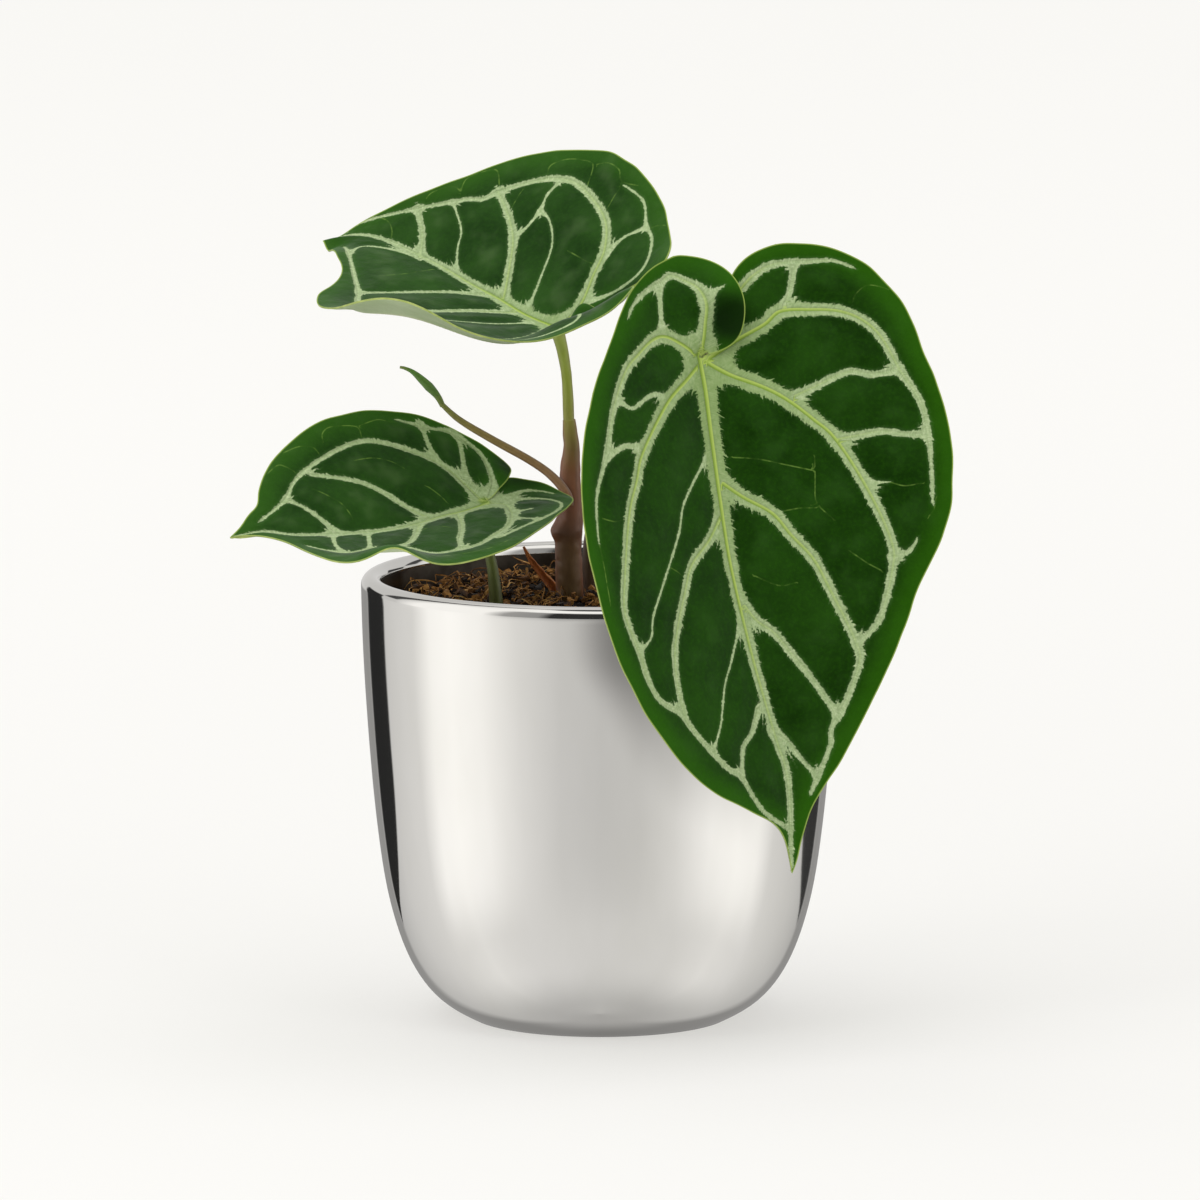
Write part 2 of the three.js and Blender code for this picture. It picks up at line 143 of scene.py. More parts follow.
def spread(value, low, high, to_low=0.0, to_high=1.0):
    inputs = {"Value": value, "From Min": low, "From Max": high, "To Min": to_low, "To Max": to_high}
    settings = {"interpolation_type": "SMOOTHSTEP"}
    return add_node(value.id_data, "ShaderNodeMapRange", inputs, **settings).outputs[0]


def coats(colour, *layers):
    """Layers over a colour, each one how much of it there is at a place and its own colour."""
    for amount, over in layers:
        inputs = {0: amount, 6: lit(colour), 7: lit(over)}
        colour = add_node(amount.id_data, "ShaderNodeMix", inputs, data_type="RGBA").outputs[2]
    return colour


def ramp(value, *stops):
    node = add_node(value.id_data, "ShaderNodeValToRGB", {"Fac": value})
    steps = node.color_ramp.elements
    while len(steps) < len(stops):
        steps.new(0.5)
    for step, (at, *colour) in zip(steps, stops):
        step.position = at
        step.color = lit(colour)
    return node.outputs["Color"]


def speckle(tree, scale, detail=3.0, roughness=0.55, stretch=(1, 1, 1)):
    """Noise over the object's own coordinates, in marks per metre."""
    place = add_node(tree, "ShaderNodeTexCoord").outputs["Object"]
    turned = add_node(tree, "ShaderNodeMapping", {"Vector": place, "Scale": stretch}).outputs[0]
    inputs = {"Vector": turned, "Scale": scale, "Detail": detail, "Roughness": roughness}
    return add_node(tree, "ShaderNodeTexNoise", inputs).outputs["Fac"]


def bumps(height, distance, strength):
    inputs = {"Height": height, "Distance": distance, "Strength": strength}
    return add_node(height.id_data, "ShaderNodeBump", inputs).outputs[0]


def settle(piece, slot, *nodes, finishes=()):
    for finish in finishes:
        piece.data.materials.append(finish)
    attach(piece, "root")
    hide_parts(*nodes)


def pick(*pieces):
    """Selects these pieces only, the first one active."""
    if bpy.context.object and bpy.context.object.mode != "OBJECT":
        bpy.ops.object.mode_set(mode="OBJECT")
    bpy.ops.object.select_all(action="DESELECT")
    for piece in reversed(pieces):
        piece.select_set(True)
        bpy.context.view_layer.objects.active = piece


def edit_all():
    bpy.ops.object.mode_set(mode="EDIT")
    bpy.ops.mesh.select_all(action="SELECT")


def round_off(degrees):
    bpy.ops.object.shade_smooth_by_angle(angle=math.radians(degrees))


def spin_up(name, profile, sides):
    """A ring at the first place of the profile, pulled up and widened from one place to the next."""
    pick()
    radius, height = profile[0]
    bpy.ops.mesh.primitive_circle_add(vertices=sides, radius=radius * MM, location=(0, 0, height * MM))
    bpy.ops.object.transform_apply()
    edit_all()
    bpy.ops.mesh.edge_face_add()
    for (was, low), (now, high) in zip(profile, profile[1:]):
        bpy.ops.mesh.extrude_region_move(TRANSFORM_OT_translate={"value": (0, 0, (high - low) * MM)})
        grow = now / was
        bpy.ops.transform.resize(value=(grow, grow, 1), center_override=(0, 0, high * MM))
    bpy.ops.mesh.select_all(action="SELECT")
    bpy.ops.mesh.normals_make_consistent(inside=False)
    bpy.ops.object.mode_set(mode="OBJECT")
    piece = bpy.context.object
    piece.name = piece.data.name = name
    return piece


rim_turns = np.linspace(0, math.pi, 29)
rim = np.stack(
    [POT_TOP[0] - POT_RIM * (1 - np.cos(rim_turns)), POT_TOP[1] + POT_RIM * np.sin(rim_turns)], 1,
)
outside = even_line(POT_OUTSIDE, 61)
smooth(outside, 12)
pot = spin_up("chrome_pot", [*outside, *rim[1:-1], *even_line(POT_INSIDE, 12)], 240)
round_off(40)
for face in pot.data.polygons:
    x, y, z = face.center / MM
    if math.hypot(x, y) < DARKER_WITHIN and DARKER_ABOVE < z < POT_TOP[1]:
        face.material_index = 1

chrome, tree, shader = new_finish("mirror_chrome", Metallic=1.0, Roughness=0.06, IOR=2.5)
smear = speckle(tree, 22, 4, 0.6, (1, 1, 0.35))
plug(shader, {
    "Base Color": ramp(smear, (0.3, 214, 213, 211), (0.75, 205, 204, 200)),
    "Roughness": spread(smear, 0.35, 0.8, 0.045, 0.09),
    "Normal": bumps(speckle(tree, 900, 2, 0.5, (1, 1, 0.1)), 0.00001, 0.15),
})
# Inside, above the mix, the plating is darker and duller.
inside, tree, shader = new_finish("dull_inside", Metallic=1.0, Roughness=0.4)
inside_mottle = speckle(tree, 60, 5, 0.65)
plug(shader, {
    "Base Color": ramp(inside_mottle, (0.3, 50, 45, 38), (0.7, 92, 87, 79)),
    "Roughness": spread(inside_mottle, 0.3, 0.8, 0.3, 0.5),
    "Normal": bumps(speckle(tree, 700), 0.00004, 0.4),
})
settle(pot, "pot", "pot", finishes=[chrome, inside])


# ------------------------------------------------------------------ potting mix
# An open orchid mix, dark and moist: chips of pine bark, coir fibres and crumbs of peat, poured in to
# 8 mm below the rim and heaped a little round the stem.
MIX_LEVEL = 122.6
MIX_RADIUS = 63
MIX_BOTTOM = 108
HEAP_AT = -4, 14
HEAP_HEIGHT, HEAP_REACH = 2.4, 34
FIBRE_GIRTH = 0.023
# Where the stalks stand, so that no loose bit lies in one: x, y and radius.
STALK_FEET = [(-8.8, -2, 4.6), (-3, 3.5, 2.9), (-30.2, -21, 2.6), (-12.6, 6.5, 2.2)]


def set_corners(piece, places):
    """Moves each corner to the place given for it, in millimetres."""
    piece.data.vertices.foreach_set("co", (places * MM).astype(np.float32).ravel())


def lay_grid(name, places):
    """A grid primitive whose corners are set at the places given, rows by columns."""
    rows, columns = places.shape[:2]
    pick()
    bpy.ops.mesh.primitive_grid_add(x_subdivisions=columns - 1, y_subdivisions=rows - 1, size=1)
    piece = bpy.context.object
    piece.name = piece.data.name = name
    set_corners(piece, places)
    return piece


def close_up(piece, reach=1e-5, outwards=True):
    """Merges what meets, so that seams and poles are closed, and turns the faces outwards."""
    pick(piece)
    edit_all()
    bpy.ops.mesh.remove_doubles(threshold=reach)
    if outwards:
        bpy.ops.mesh.normals_make_consistent(inside=False)
    bpy.ops.object.mode_set(mode="OBJECT")
    bpy.ops.object.shade_smooth()


def keep(piece, name, values, kind="FLOAT", field="value"):
    """Stores a number or a vector for each corner, for the material to read."""
    mark = piece.data.attributes.new(name, kind, "POINT")
    mark.data.foreach_set(field, np.asarray(values, np.float32).ravel())


def marked(tree, name, output="Fac"):
    return add_node(tree, "ShaderNodeAttribute", attribute_name=name).outputs[output]


def join(name, pieces):
    pick(*pieces)
    bpy.ops.object.join()
    pieces[0].name = pieces[0].data.name = name
    return pieces[0]


def add_object(name, data):
    piece = bpy.data.objects.new(name, data)
    bpy.context.collection.objects.link(piece)
    return piece


def mix_height(x, y):
    broad = np.sin(x * 0.17 + 1.3) * np.cos(y * 0.21 - 0.4)
    small = np.sin(x * 0.41 - y * 0.33)
    heap = HEAP_HEIGHT * np.exp(-((x - HEAP_AT[0]) ** 2 + (y - HEAP_AT[1]) ** 2) / HEAP_REACH**2)
    return MIX_LEVEL + heap + 0.7 * broad + 0.42 * small - 0.08 * np.maximum(np.hypot(x, y) - 46, 0)


def make_bed():
    turns = np.linspace(0, 2 * math.pi, 161)
    reaches = np.r_[np.linspace(0, MIX_RADIUS, 58), MIX_RADIUS, MIX_RADIUS * 0.5, 0]
    x = reaches[:, None] * np.cos(turns)
    y = reaches[:, None] * np.sin(turns)
    z = mix_height(x, y)
    for i, j in np.ndindex(z.shape):
        z[i, j] += 1.7 * noise.fractal(Vector((x[i, j], y[i, j], 0)) * 0.3, 0.7, 2.0, 4) - 0.6
    z[-3:] = MIX_BOTTOM
    z[:, -1] = z[:, 0]
    z[0] = z[0, 0]
    bed = lay_grid("mix_bed", np.stack([x, y, z], -1))
    # The bed takes the darkest tone: the dark of the mix, and painted shade in the gaps between the loose
    # bits.
    keep(bed, "tint", np.zeros(z.size))
    close_up(bed)
    return bed


def make_chip(seed, cuts):
    """A rounded, broken flake, about 1 across."""
    pick()
    bpy.ops.mesh.primitive_cube_add(size=1)
    chip = bpy.context.object
    edit_all()
    bpy.ops.mesh.subdivide(number_cuts=cuts)
    bpy.ops.transform.vertex_random(offset=0.13, seed=seed)
    bpy.ops.mesh.vertices_smooth(factor=0.4)
    bpy.ops.object.mode_set(mode="OBJECT")
    corners = np.array([v.co for v in chip.data.vertices])
    faces = [tuple(f.vertices) for f in chip.data.polygons]
    bpy.data.objects.remove(chip)
    return corners, faces


def make_fibre(seed):
    """A curly strand with three sides, 1 long."""
    chance = random.Random(seed)
    stray = [(chance.uniform(-0.24, 0.24), chance.uniform(-0.1, 0.28)) for _ in range(3)]
    bends = [(at, *place) for at, place in zip((-0.27, 0, 0.27), stray)]
    spine = even_line([(-0.5, 0, -0.1), *bends, (0.5, 0, -0.1)], 10)
    corners, faces = [], []
    for i, middle in enumerate(spine):
        girth = FIBRE_GIRTH * (1 - abs(2 * i / 9 - 1) ** 3 * 0.8)
        for k in range(3):
            turn = k * 2 * math.pi / 3
            corners.append(middle + (0, math.cos(turn) * girth, math.sin(turn) * girth))
            a, b = 3 * i + k, 3 * i + (k + 1) % 3
            if i < 9:
                faces.append((a, b, b + 3, a + 3))
    faces += [(2, 1, 0), (27, 28, 29)]
    return np.array(corners), faces


def scatter(name, kinds, count, seed, sizes, sink, tints):
    """Copies of the shapes, each its own size and turn, fused in one mesh of loose bits."""
    chance = random.Random(seed)
    corners, faces, tint = [], [], []
    total = 0
    while len(tint) < count:
        turn = chance.uniform(0, 2 * math.pi)
        reach = math.sqrt(chance.random()) * (MIX_RADIUS - 3.5)
        x, y = math.cos(turn) * reach, math.sin(turn) * reach
        size = [chance.uniform(*s) for s in sizes]
        if any(math.hypot(x - px, y - py) < r + size[0] * 0.5 for px, py, r in STALK_FEET):
            continue
        points, sides = kinds[chance.randrange(len(kinds))]
        tilt, roll = chance.gauss(0, 0.35), chance.gauss(0, 0.35)
        turned = np.array(Euler((roll, tilt, chance.uniform(0, 2 * math.pi))).to_matrix())
        height = float(mix_height(x, y)) + size[2] * chance.uniform(*sink)
        corners.append((points * size) @ turned.T + (x, y, height))
        faces += [tuple(i + total for i in side) for side in sides]
        total += len(points)
        tint.append(np.full(len(points), chance.uniform(*tints)))
    mesh = bpy.data.meshes.new(name)
    mesh.from_pydata((np.vstack(corners) * MM).tolist(), [], faces)
    piece = add_object(name, mesh)
    keep(piece, "tint", np.concatenate(tint))
    return piece


flakes = [make_chip(s, 2) for s in range(9)]
crumbles = [make_chip(s, 1) for s in range(20, 32)]
strands = [make_fibre(s) for s in range(16)]
chips = scatter("bark", flakes, 230, 11, [(2, 6.5), (1.5, 3.8), (0.9, 2.4)], (-0.1, 0.45), (0.1, 0.85))
crumbs = scatter("crumbs", crumbles, 1750, 12, [(0.7, 2.6), (0.6, 1.9), (0.5, 1.7)], (0.1, 1.3), (0, 1))
fibres = scatter("fibres", strands, 640, 13, [(4, 15), (4, 13), (4, 12)], (0.04, 0.2), (0.5, 1.15))
mix = join("bark_mix", [make_bed(), chips, crumbs, fibres])
round_off(35)

bark, tree, shader = new_finish("bark_and_peat", Roughness=0.85, Specular_IOR_Level=0.2)
tone = plus(times(marked(tree, "tint"), 0.62), times(speckle(tree, 420, 4, 0.6), 0.5))
plug(shader, {
    "Base Color": ramp(
        tone, (0.22, 10, 5, 2), (0.44, 34, 20, 8), (0.62, 94, 60, 28), (0.82, 170, 120, 66),
        (1, 218, 174, 114),
    ),
    "Roughness": spread(speckle(tree, 260, 2), 0.3, 0.7, 0.6, 0.95),
    "Normal": bumps(speckle(tree, 1500, 4, 0.65, (1, 0.35, 1)), 0.0006, 0.8),
})
settle(mix, "soil", "soil", finishes=[bark])


# ------------------------------------------------------------------ stem and petioles
# The short stem is woody and brown, with a swollen node and an old leaf scar low on its left. Each
# petiole is a smooth round stalk, brown where it is old and olive further up, thicker just under its
# blade, and stands straight out of the mix or out of the stem's papery sheath.
MIX_FOOT = 112
SCAR_AT, SCAR_REACH, SCAR_HEIGHT = (-13.4, -3.4, 144), (2.6, 3.2, 2.5), 1.6
HOLLOW_AT, HOLLOW_REACH, HOLLOW_DEPTH = (-14, -4.4, 144), (1.3, 1.3, 0.8), 0.8
# The rings round the stem: how far each stands out, how high it is and how broad.
STEM_RINGS = [(-0.1, 139.3, 0.5), (-0.2, 145, 0.35), (-0.05, 131.5, 0.4), (-0.06, 158.5, 0.3)]


def side_ways(spine):
    """Two ways square to a line at each of its places: across it, and in depth."""
    ahead = np.gradient(spine, axis=0)
    ahead /= np.linalg.norm(ahead, axis=1, keepdims=True)
    across = np.cross(ahead, (0.0, 1.0, 0.0))
    across /= np.linalg.norm(across, axis=1, keepdims=True)
    return across, np.cross(across, ahead)


def make_stalk(name, route, radii, sides, steps, lumps=0.04):
    line = even_line([(*place, radius) for place, radius in zip(route, radii)], steps + 1)
    spine, radius = line[:, :3], line[:, 3]
    across, depth = side_ways(spine)
    turns = np.linspace(0, 2 * math.pi, sides + 1)
    radius[[0, -1]] = 0
    places = np.zeros((steps + 1, sides + 1, 3))
    for i in range(steps + 1):
        for k, turn in enumerate(turns):
            way = across[i] * math.cos(turn) + depth[i] * math.sin(turn)
            wrinkle = 1 + lumps * noise.noise(Vector((way[0] * 1.4, way[1] * 1.4, spine[i, 2] * 0.35)))
            places[i, k] = spine[i] + way * radius[i] * wrinkle
    places[:, -1] = places[:, 0]
    stalk = lay_grid(name, places)
    keep(stalk, "upwards", np.repeat(np.linspace(0, 1, steps + 1), sides + 1))
    keep(stalk, "front", np.tile(-np.sin(turns), steps + 1) * np.repeat(depth[:, 1], sides + 1))
    close_up(stalk)
    return stalk


def stalk_finish(name, flank, *stops, share=0.5, flecks=0.25):
    """Colours from foot to top, another one round the sides, and short lengthwise streaks."""
    finish, tree, shader = new_finish(name, Roughness=0.45)
    streak = speckle(tree, 500, 4, 0.55, (1, 1, 0.1))
    sides = times(spread(marked(tree, "front"), 0.1, 0.92, 1, 0), share)
    dark = times(spread(streak, 0.45, 0.75), flecks)
    plug(shader, {
        "Base Color": coats(ramp(marked(tree, "upwards"), *stops), (sides, flank), (dark, (52, 34, 22))),
        "Roughness": spread(streak, 0.3, 0.7, 0.36, 0.55),
        "Normal": bumps(streak, 0.0002, 0.5),
    })
    return finish


stem_route = [
    (-8.8, -2, MIX_FOOT), (-8.8, -2, 125), (-9.3, -2, 137), (-9.2, -2, 141.4), (-9.1, -2, 144.4),
    (-8.8, -2, 147.4), (-8.4, -2, 151.6), (-8.5, -2, 156), (-8.8, -2, 161), (-8.3, -2, 168),
    (-8.7, -2, 172.6), (-9.1, -2, 177),
]
stem_radii = [4, 4, 3.9, 3.95, 4.1, 3.8, 3.2, 3, 3.05, 2.45, 2.2, 1.85]
stem = make_stalk("stem_shaft", stem_route, stem_radii, 48, 170, lumps=0.05)
# The node: growth rings round the stem, and a blunt scar with a hollow in it low on its left.
corners = np.array([v.co for v in stem.data.vertices]) / MM
away = corners - np.array([-9, -2, 0])
away[:, 2] = 0
away /= np.linalg.norm(away, axis=1, keepdims=True) + 1e-9
scar, hollow = (
    np.exp(-(((corners - at) / reach) ** 2).sum(1))
    for at, reach in ((SCAR_AT, SCAR_REACH), (HOLLOW_AT, HOLLOW_REACH))
)
height = corners[:, 2] + 0.25 * corners[:, 0] + 0.8 * np.sin(4 * away[:, 0] + 1.4)
rings = sum(out * np.exp(-(((height - at) / reach) ** 2)) for out, at, reach in STEM_RINGS)
rings *= np.clip(0.3 - away[:, 0], 0.1, 1)
corners += away * (scar * SCAR_HEIGHT - HOLLOW_DEPTH * hollow + rings)[:, None]
set_corners(stem, corners)
stem_wood = stalk_finish(
    "stem_skin", (146, 94, 74), (0.15, 92, 68, 34), (0.42, 108, 76, 44), (0.49, 100, 64, 42),
    (0.6, 132, 82, 58), (0.76, 124, 78, 46), (0.86, 116, 92, 38), (1, 150, 144, 62), share=0.8,
)
settle(stem, "stem", "stem", finishes=[stem_wood])


# ------------------------------------------------------------------ leaf blades
# Three heart-shaped blades, firm and velvety, held out on their petioles. Each was grown from a rolled
# bud: the two halves fold up from the midrib, the lobes ripple, and broad silvery bands with ragged,
# feathered edges follow the veins. Beneath, the blade is pale and its veins stand out.
BLADE_THICKNESS = 0.75
FOLD_SOFTNESS = 3
RIM_THINNING = 0.35
QUILTING = 0.75
VEIN_DEPTH = 0.35
MIDRIB_HEIGHT = 1.2
RAGGEDNESS = 0.4
# Added to each next vein's run, so that no two have the same teeth.
VEIN_SHIFT = 57.3

big_blade = {
    "joint": (29.5, -38, 200.2), "to_tip": (27.2, -44, -134), "roll": -26, "droop": -0.045,
    "vein_girth": 0.9,
    "midrib": [(0, 0), (-1.5, 24), (-3, 48), (-2, 72), (-1, 92), (1.5, 108), (3.5, 126), (3.5, 138),
        (1, 152)],
    "left": {
        "fold": 0.36, "ripples": [(8, -14, 7, 13)],
        "sinus": [(5, 0), (10, -2.5), (12, -9), (12, -16), (10, -23), (5, -28), (-2, -30.5)],
        "shoulder": [(-10, -27.5), (-19, -22), (-28, -11.5), (-37, 1.5)],
        "flank": [(-45, 14.5), (-51, 30), (-54, 44), (-54.5, 60), (-52, 82), (-46, 100), (-36.5, 116),
            (-25, 127), (-14, 132.5), (-4, 137), (0, 141.5)],
    },
    "right": {
        "fold": 0.34,
        "sinus": [(3.5, -1), (7.5, -4), (9.5, -9), (10, -15), (12.5, -22), (18.5, -27), (27, -29)],
        "shoulder": [(36, -27), (45, -22.5), (53, -14), (58.5, -2), (60.5, 9.5)],
        "flank": [(63, 25), (63, 39), (60, 55), (54, 68), (47.5, 77), (41.5, 89), (33, 103), (22, 119),
            (12, 131), (6.5, 140), (3, 149)],
    },
}
# Each vein: its half-width at the start and at the end, and its way over the flat blade. One that
# names a half stays off the other, as the lobes overlap. The threads are the fine veinlets between.
big_blade["veins"] = [
    (4.1, 0.8, [(-1, 0), (-1, 10), (-2, 26), (-3, 49), (-3, 65), (-1, 90), (2, 112), (4, 126), (1, 150)]),
    (3.3, 0.5, [(2, 1), (11, -3), (19, -6), (24, -9), (32, -8), (40, -6), (46, -2), (50, 4), (53, 14),
        (57, 25), (57, 38), (55, 54)], "right"),
    (1.3, 0.9, [(24, -9), (27, -13), (30, -21)], "right"),
    (1.9, 0.4, [(15, -18), (19, -21), (25, -23), (35, -22), (41, -21), (46, -18)], "right"),
    (3.5, 0.9, [(1, 2), (7, 7), (15, 12), (21, 17), (27, 24), (32, 31), (38, 47), (42, 63), (41, 71),
        (35, 85), (28, 90)], "right"),
    (1.6, 1, [(21, 17), (28, 15), (39, 12), (45, 14), (52, 14)]),
    (1.6, 0.9, [(32, 31), (37, 31), (45, 31), (51, 33), (56, 34)]),
    (0.6, 0.15, [(38, 45), (44, 46)]),
    (1.1, 0.4, [(42, 67), (46, 67), (49, 64)]),
    (2.7, 0.6, [(-1, 38), (4, 43), (11, 49), (15, 56), (20, 64), (23, 73), (28, 90), (28, 96), (23, 106),
        (18, 113), (17, 118), (10, 130)]),
    (1.7, 0.9, [(-1, 74), (2, 79), (6, 83), (10, 90), (14, 97), (20, 109)]),
    (1.2, 0.6, [(1, 111), (5, 114), (8, 119), (12, 125)]),
    (2.6, 0.5, [(0, 0), (1, -8), (2, -14), (1, -19), (-2, -22), (-6, -24), (-10, -22), (-15, -20),
        (-21, -16), (-24, -12)]),
    (0.9, 0.8, [(-11, -20), (-12, -14), (-13, -7)]),
    (1, 0.3, [(2, -16), (7, -18)]),
    (2.8, 0.3, [(-1, 1), (-6, -3), (-12, -6), (-17, -5), (-23, -1), (-29, 4), (-36, 15), (-42, 29),
        (-48, 41), (-50, 54)]),
    (2.8, 1, [(-2, 3), (-7, 7), (-16, 14), (-28, 28), (-32, 36), (-37, 46), (-43, 65), (-45, 75), (-42, 87),
        (-41, 93), (-38, 100), (-31, 104)]),
    (0.75, 0.6, [(-16, 13), (-19, 11), (-23, 12), (-29, 15), (-33, 13)]),
    (1, 0.8, [(-28, 27), (-34, 26), (-41, 29)]),
    (0.45, 0.35, [(-5, 30), (-16, 43), (-20, 52), (-30, 68), (-35, 76), (-37, 82), (-41, 85)]),
    (1.9, 0.8, [(-4, 48), (-9, 54), (-17, 61), (-21, 68), (-29, 86), (-30, 103), (-27, 110), (-17, 121),
        (-13, 123), (-7, 133), (0, 138)]),
    (0.4, 0.35, [(-3, 78), (-9, 90), (-13, 97), (-17, 108), (-21, 115)]),
    (1.1, 0.8, [(-2, 104), (-6, 111), (-10, 115), (-12, 122)]),
]
big_blade["threads"] = [
    [(3, 31), (10, 33), (17, 36), (24, 39)], [(25, 35), (24, 41), (23, 47), (24, 50), (27, 54)],
    [(12, 49), (18, 49), (24, 50)], [(30, 64), (32, 66), (34, 68), (38, 71)],
    [(44, -8), (45, -10), (49, -12), (54, -10)], [(-38, 47), (-43, 48), (-47, 47)],
    [(-25, 62), (-22, 64), (-20, 66)], [(-50, 51), (-50, 57), (-50, 64), (-50, 72)],
    [(56, 53), (55, 56), (53, 58)], [(40, 46), (44, 46), (48, 48), (53, 48)], [(3, 66), (9, 70), (14, 70)],
]

top_blade = {
    "joint": (-12.6, 2, 203.4), "to_tip": (-68.3, 50, 17), "roll": -25, "rise": 1.5, "nod": (0.55, 68),
    "vein_girth": 0.76,
    "midrib": [(0, 0), (-2, 18), (-5, 36), (-9, 54), (-12, 72), (-12, 84), (-7, 94)],
    "left": {
        "fold": 0.45, "ripples": [(-6, 97, -4, 12)],
        "sinus": [(-2, -1.6), (-6, -5.2), (-10.6, -10), (-15, -15), (-17.5, -20.5), (-21.5, -26)],
        "shoulder": [(-28.7, -22.8), (-36, -16.5), (-42.7, -10), (-48.6, -2.5)],
        "flank": [(-52.1, 4.8), (-55, 14), (-55.5, 22), (-51.5, 39), (-46.5, 50), (-38, 62), (-27, 76.5),
            (-15, 89)],
    },
    "right": {
        "fold": 0.3, "curl": (1.45, 12, 6, 31),
        "ripples": [(12, -18, 9, 14), (0, -30, 8, 9), (-4, -7, 5, 4), (-6, -16, 1.6, 7), (34, -12, 2.6, 13),
            (-6, 97, -4, 12)],
        "sinus": [(-1.5, -2), (-5, -5.5), (-6, -12), (-5.5, -20), (-3.5, -28), (2, -33)],
        "shoulder": [(12, -31), (21, -25.5), (31, -17.5), (40, -7)],
        "flank": [(47, 6), (50, 22), (50, 36), (45.5, 50), (36, 59), (25, 62.5), (16.5, 66.5), (10.5, 72),
            (3.5, 80), (-3, 88)],
    },
}
top_blade["veins"] = [
    (3.3, 0.8, [(0, 0), (-1, 12), (-4, 25), (-6, 36), (-9, 49), (-11, 61), (-13, 80), (-11, 91)]),
    (2.6, 0.5, [(0, 0), (-9, -2), (-19, 0), (-28, 2), (-37, 9), (-44, 24), (-43, 35), (-36, 48), (-33, 51),
        (-31, 58), (-25, 71), (-19, 84), (-15, 90)]),
    (2.1, 1.4, [(-4, 23), (-14, 28), (-23, 33), (-30, 40), (-36, 48)]),
    (1.6, 1.1, [(-10, 59), (-18, 64), (-25, 71)]),
    (0.4, 0.35, [(-10, 45), (-16, 49), (-22, 52), (-29, 60)]),
    (0.5, 0.35, [(-6, 14), (-14, 16), (-24, 19), (-31, 25), (-33, 30)]),
    (0.6, 0.5, [(-23, 33), (-27, 31), (-33, 30), (-38, 31), (-42, 30)]),
    (1, 0.4, [(-10, -2), (-14, -10), (-20, -16), (-26, -16), (-33, -12), (-37, -7), (-44, -1), (-47, 8)]),
    (0.7, 0.5, [(-25, 0), (-32, -2), (-36, -7)]),
    (2.6, 0.6, [(0, 0), (8, -2), (18, 0), (28, 5), (36, 13), (40, 24), (40, 35), (36, 44), (24, 54),
        (14, 64), (1, 77), (-5, 84)]),
    (1.5, 0.9, [(-4, 29), (1, 37), (8, 43), (16, 48), (24, 53)]),
    (1.9, 1.1, [(-2, 14), (3, 20), (10, 27), (20, 32), (30, 36), (38, 38)]),
    (0.5, 0.35, [(0, 6), (8, 12), (17, 20), (28, 25), (38, 26)]),
    (0.8, 0.5, [(-10, 62), (-8, 71), (-5, 77), (1, 76)]),
    (1, 0.4, [(6, -2), (8, -12), (12, -20), (18, -22), (25, -16), (31, -8), (41, 10)]),
]
top_blade["threads"] = [
    [(-33, 60), (-37, 61), (-40, 58), (-42, 53), (-38, 49)],
    [(-44, 35), (-47, 36), (-50, 32), (-51, 26), (-50, 22), (-44, 20)],
    [(-50, 22), (-52, 18), (-51, 13), (-48, 10), (-48, 4)], [(-20, 82), (-19, 78), (-16, 74), (-12, 72)],
    [(-23, 12), (-22, 6), (-22, 2)], [(-38, 9), (-42, 9), (-46, 9)], [(-6, 51), (2, 53), (10, 57)],
    [(-37, -14), (-37, -11), (-36, -9)], [(-29, 70), (-31, 69), (-34, 64), (-33, 60)],
    [(-40, 40), (-37, 40), (-32, 40)],
]

low_blade = {
    "joint": (-33.6, -21, 155.3), "to_tip": (-74, -40, -5), "roll": -25,
    "vein_girth": 0.82,
    "midrib": [(0, 0), (3.5, 16), (6, 31), (6.5, 42), (5, 54), (3, 63), (-0.5, 73), (0, 83)],
    "left": {
        "fold": 0.3, "ripples": [(-7, -9, 2, 7)],
        "sinus": [(-0.6, -2.4), (-2.8, -6), (-5.2, -10), (-9.5, -13.5)],
        "shoulder": [(-18.5, -10.3), (-28.8, -1.6)],
        "flank": [(-34.5, 8), (-36.8, 21), (-35.5, 36), (-30, 49), (-24, 59), (-15.5, 67), (-10, 69.5),
            (-8.4, 73), (-5, 76.5)],
    },
    "right": {
        "fold": 0.3, "ripples": [(38, 51, 7, 10)],
        "sinus": [(-4, -4.6), (-8.2, -11), (-6.4, -16), (-4, -22), (1, -25.5)],
        "shoulder": [(8, -25.5), (14.5, -18.5), (21.5, -11)],
        "flank": [(30, 0), (37.5, 11.5), (41.5, 24), (42.5, 37), (42, 45), (38, 52), (37.5, 59), (34, 63),
            (27.5, 65.5), (17, 68), (8, 69), (2, 73), (0, 79)],
    },
}
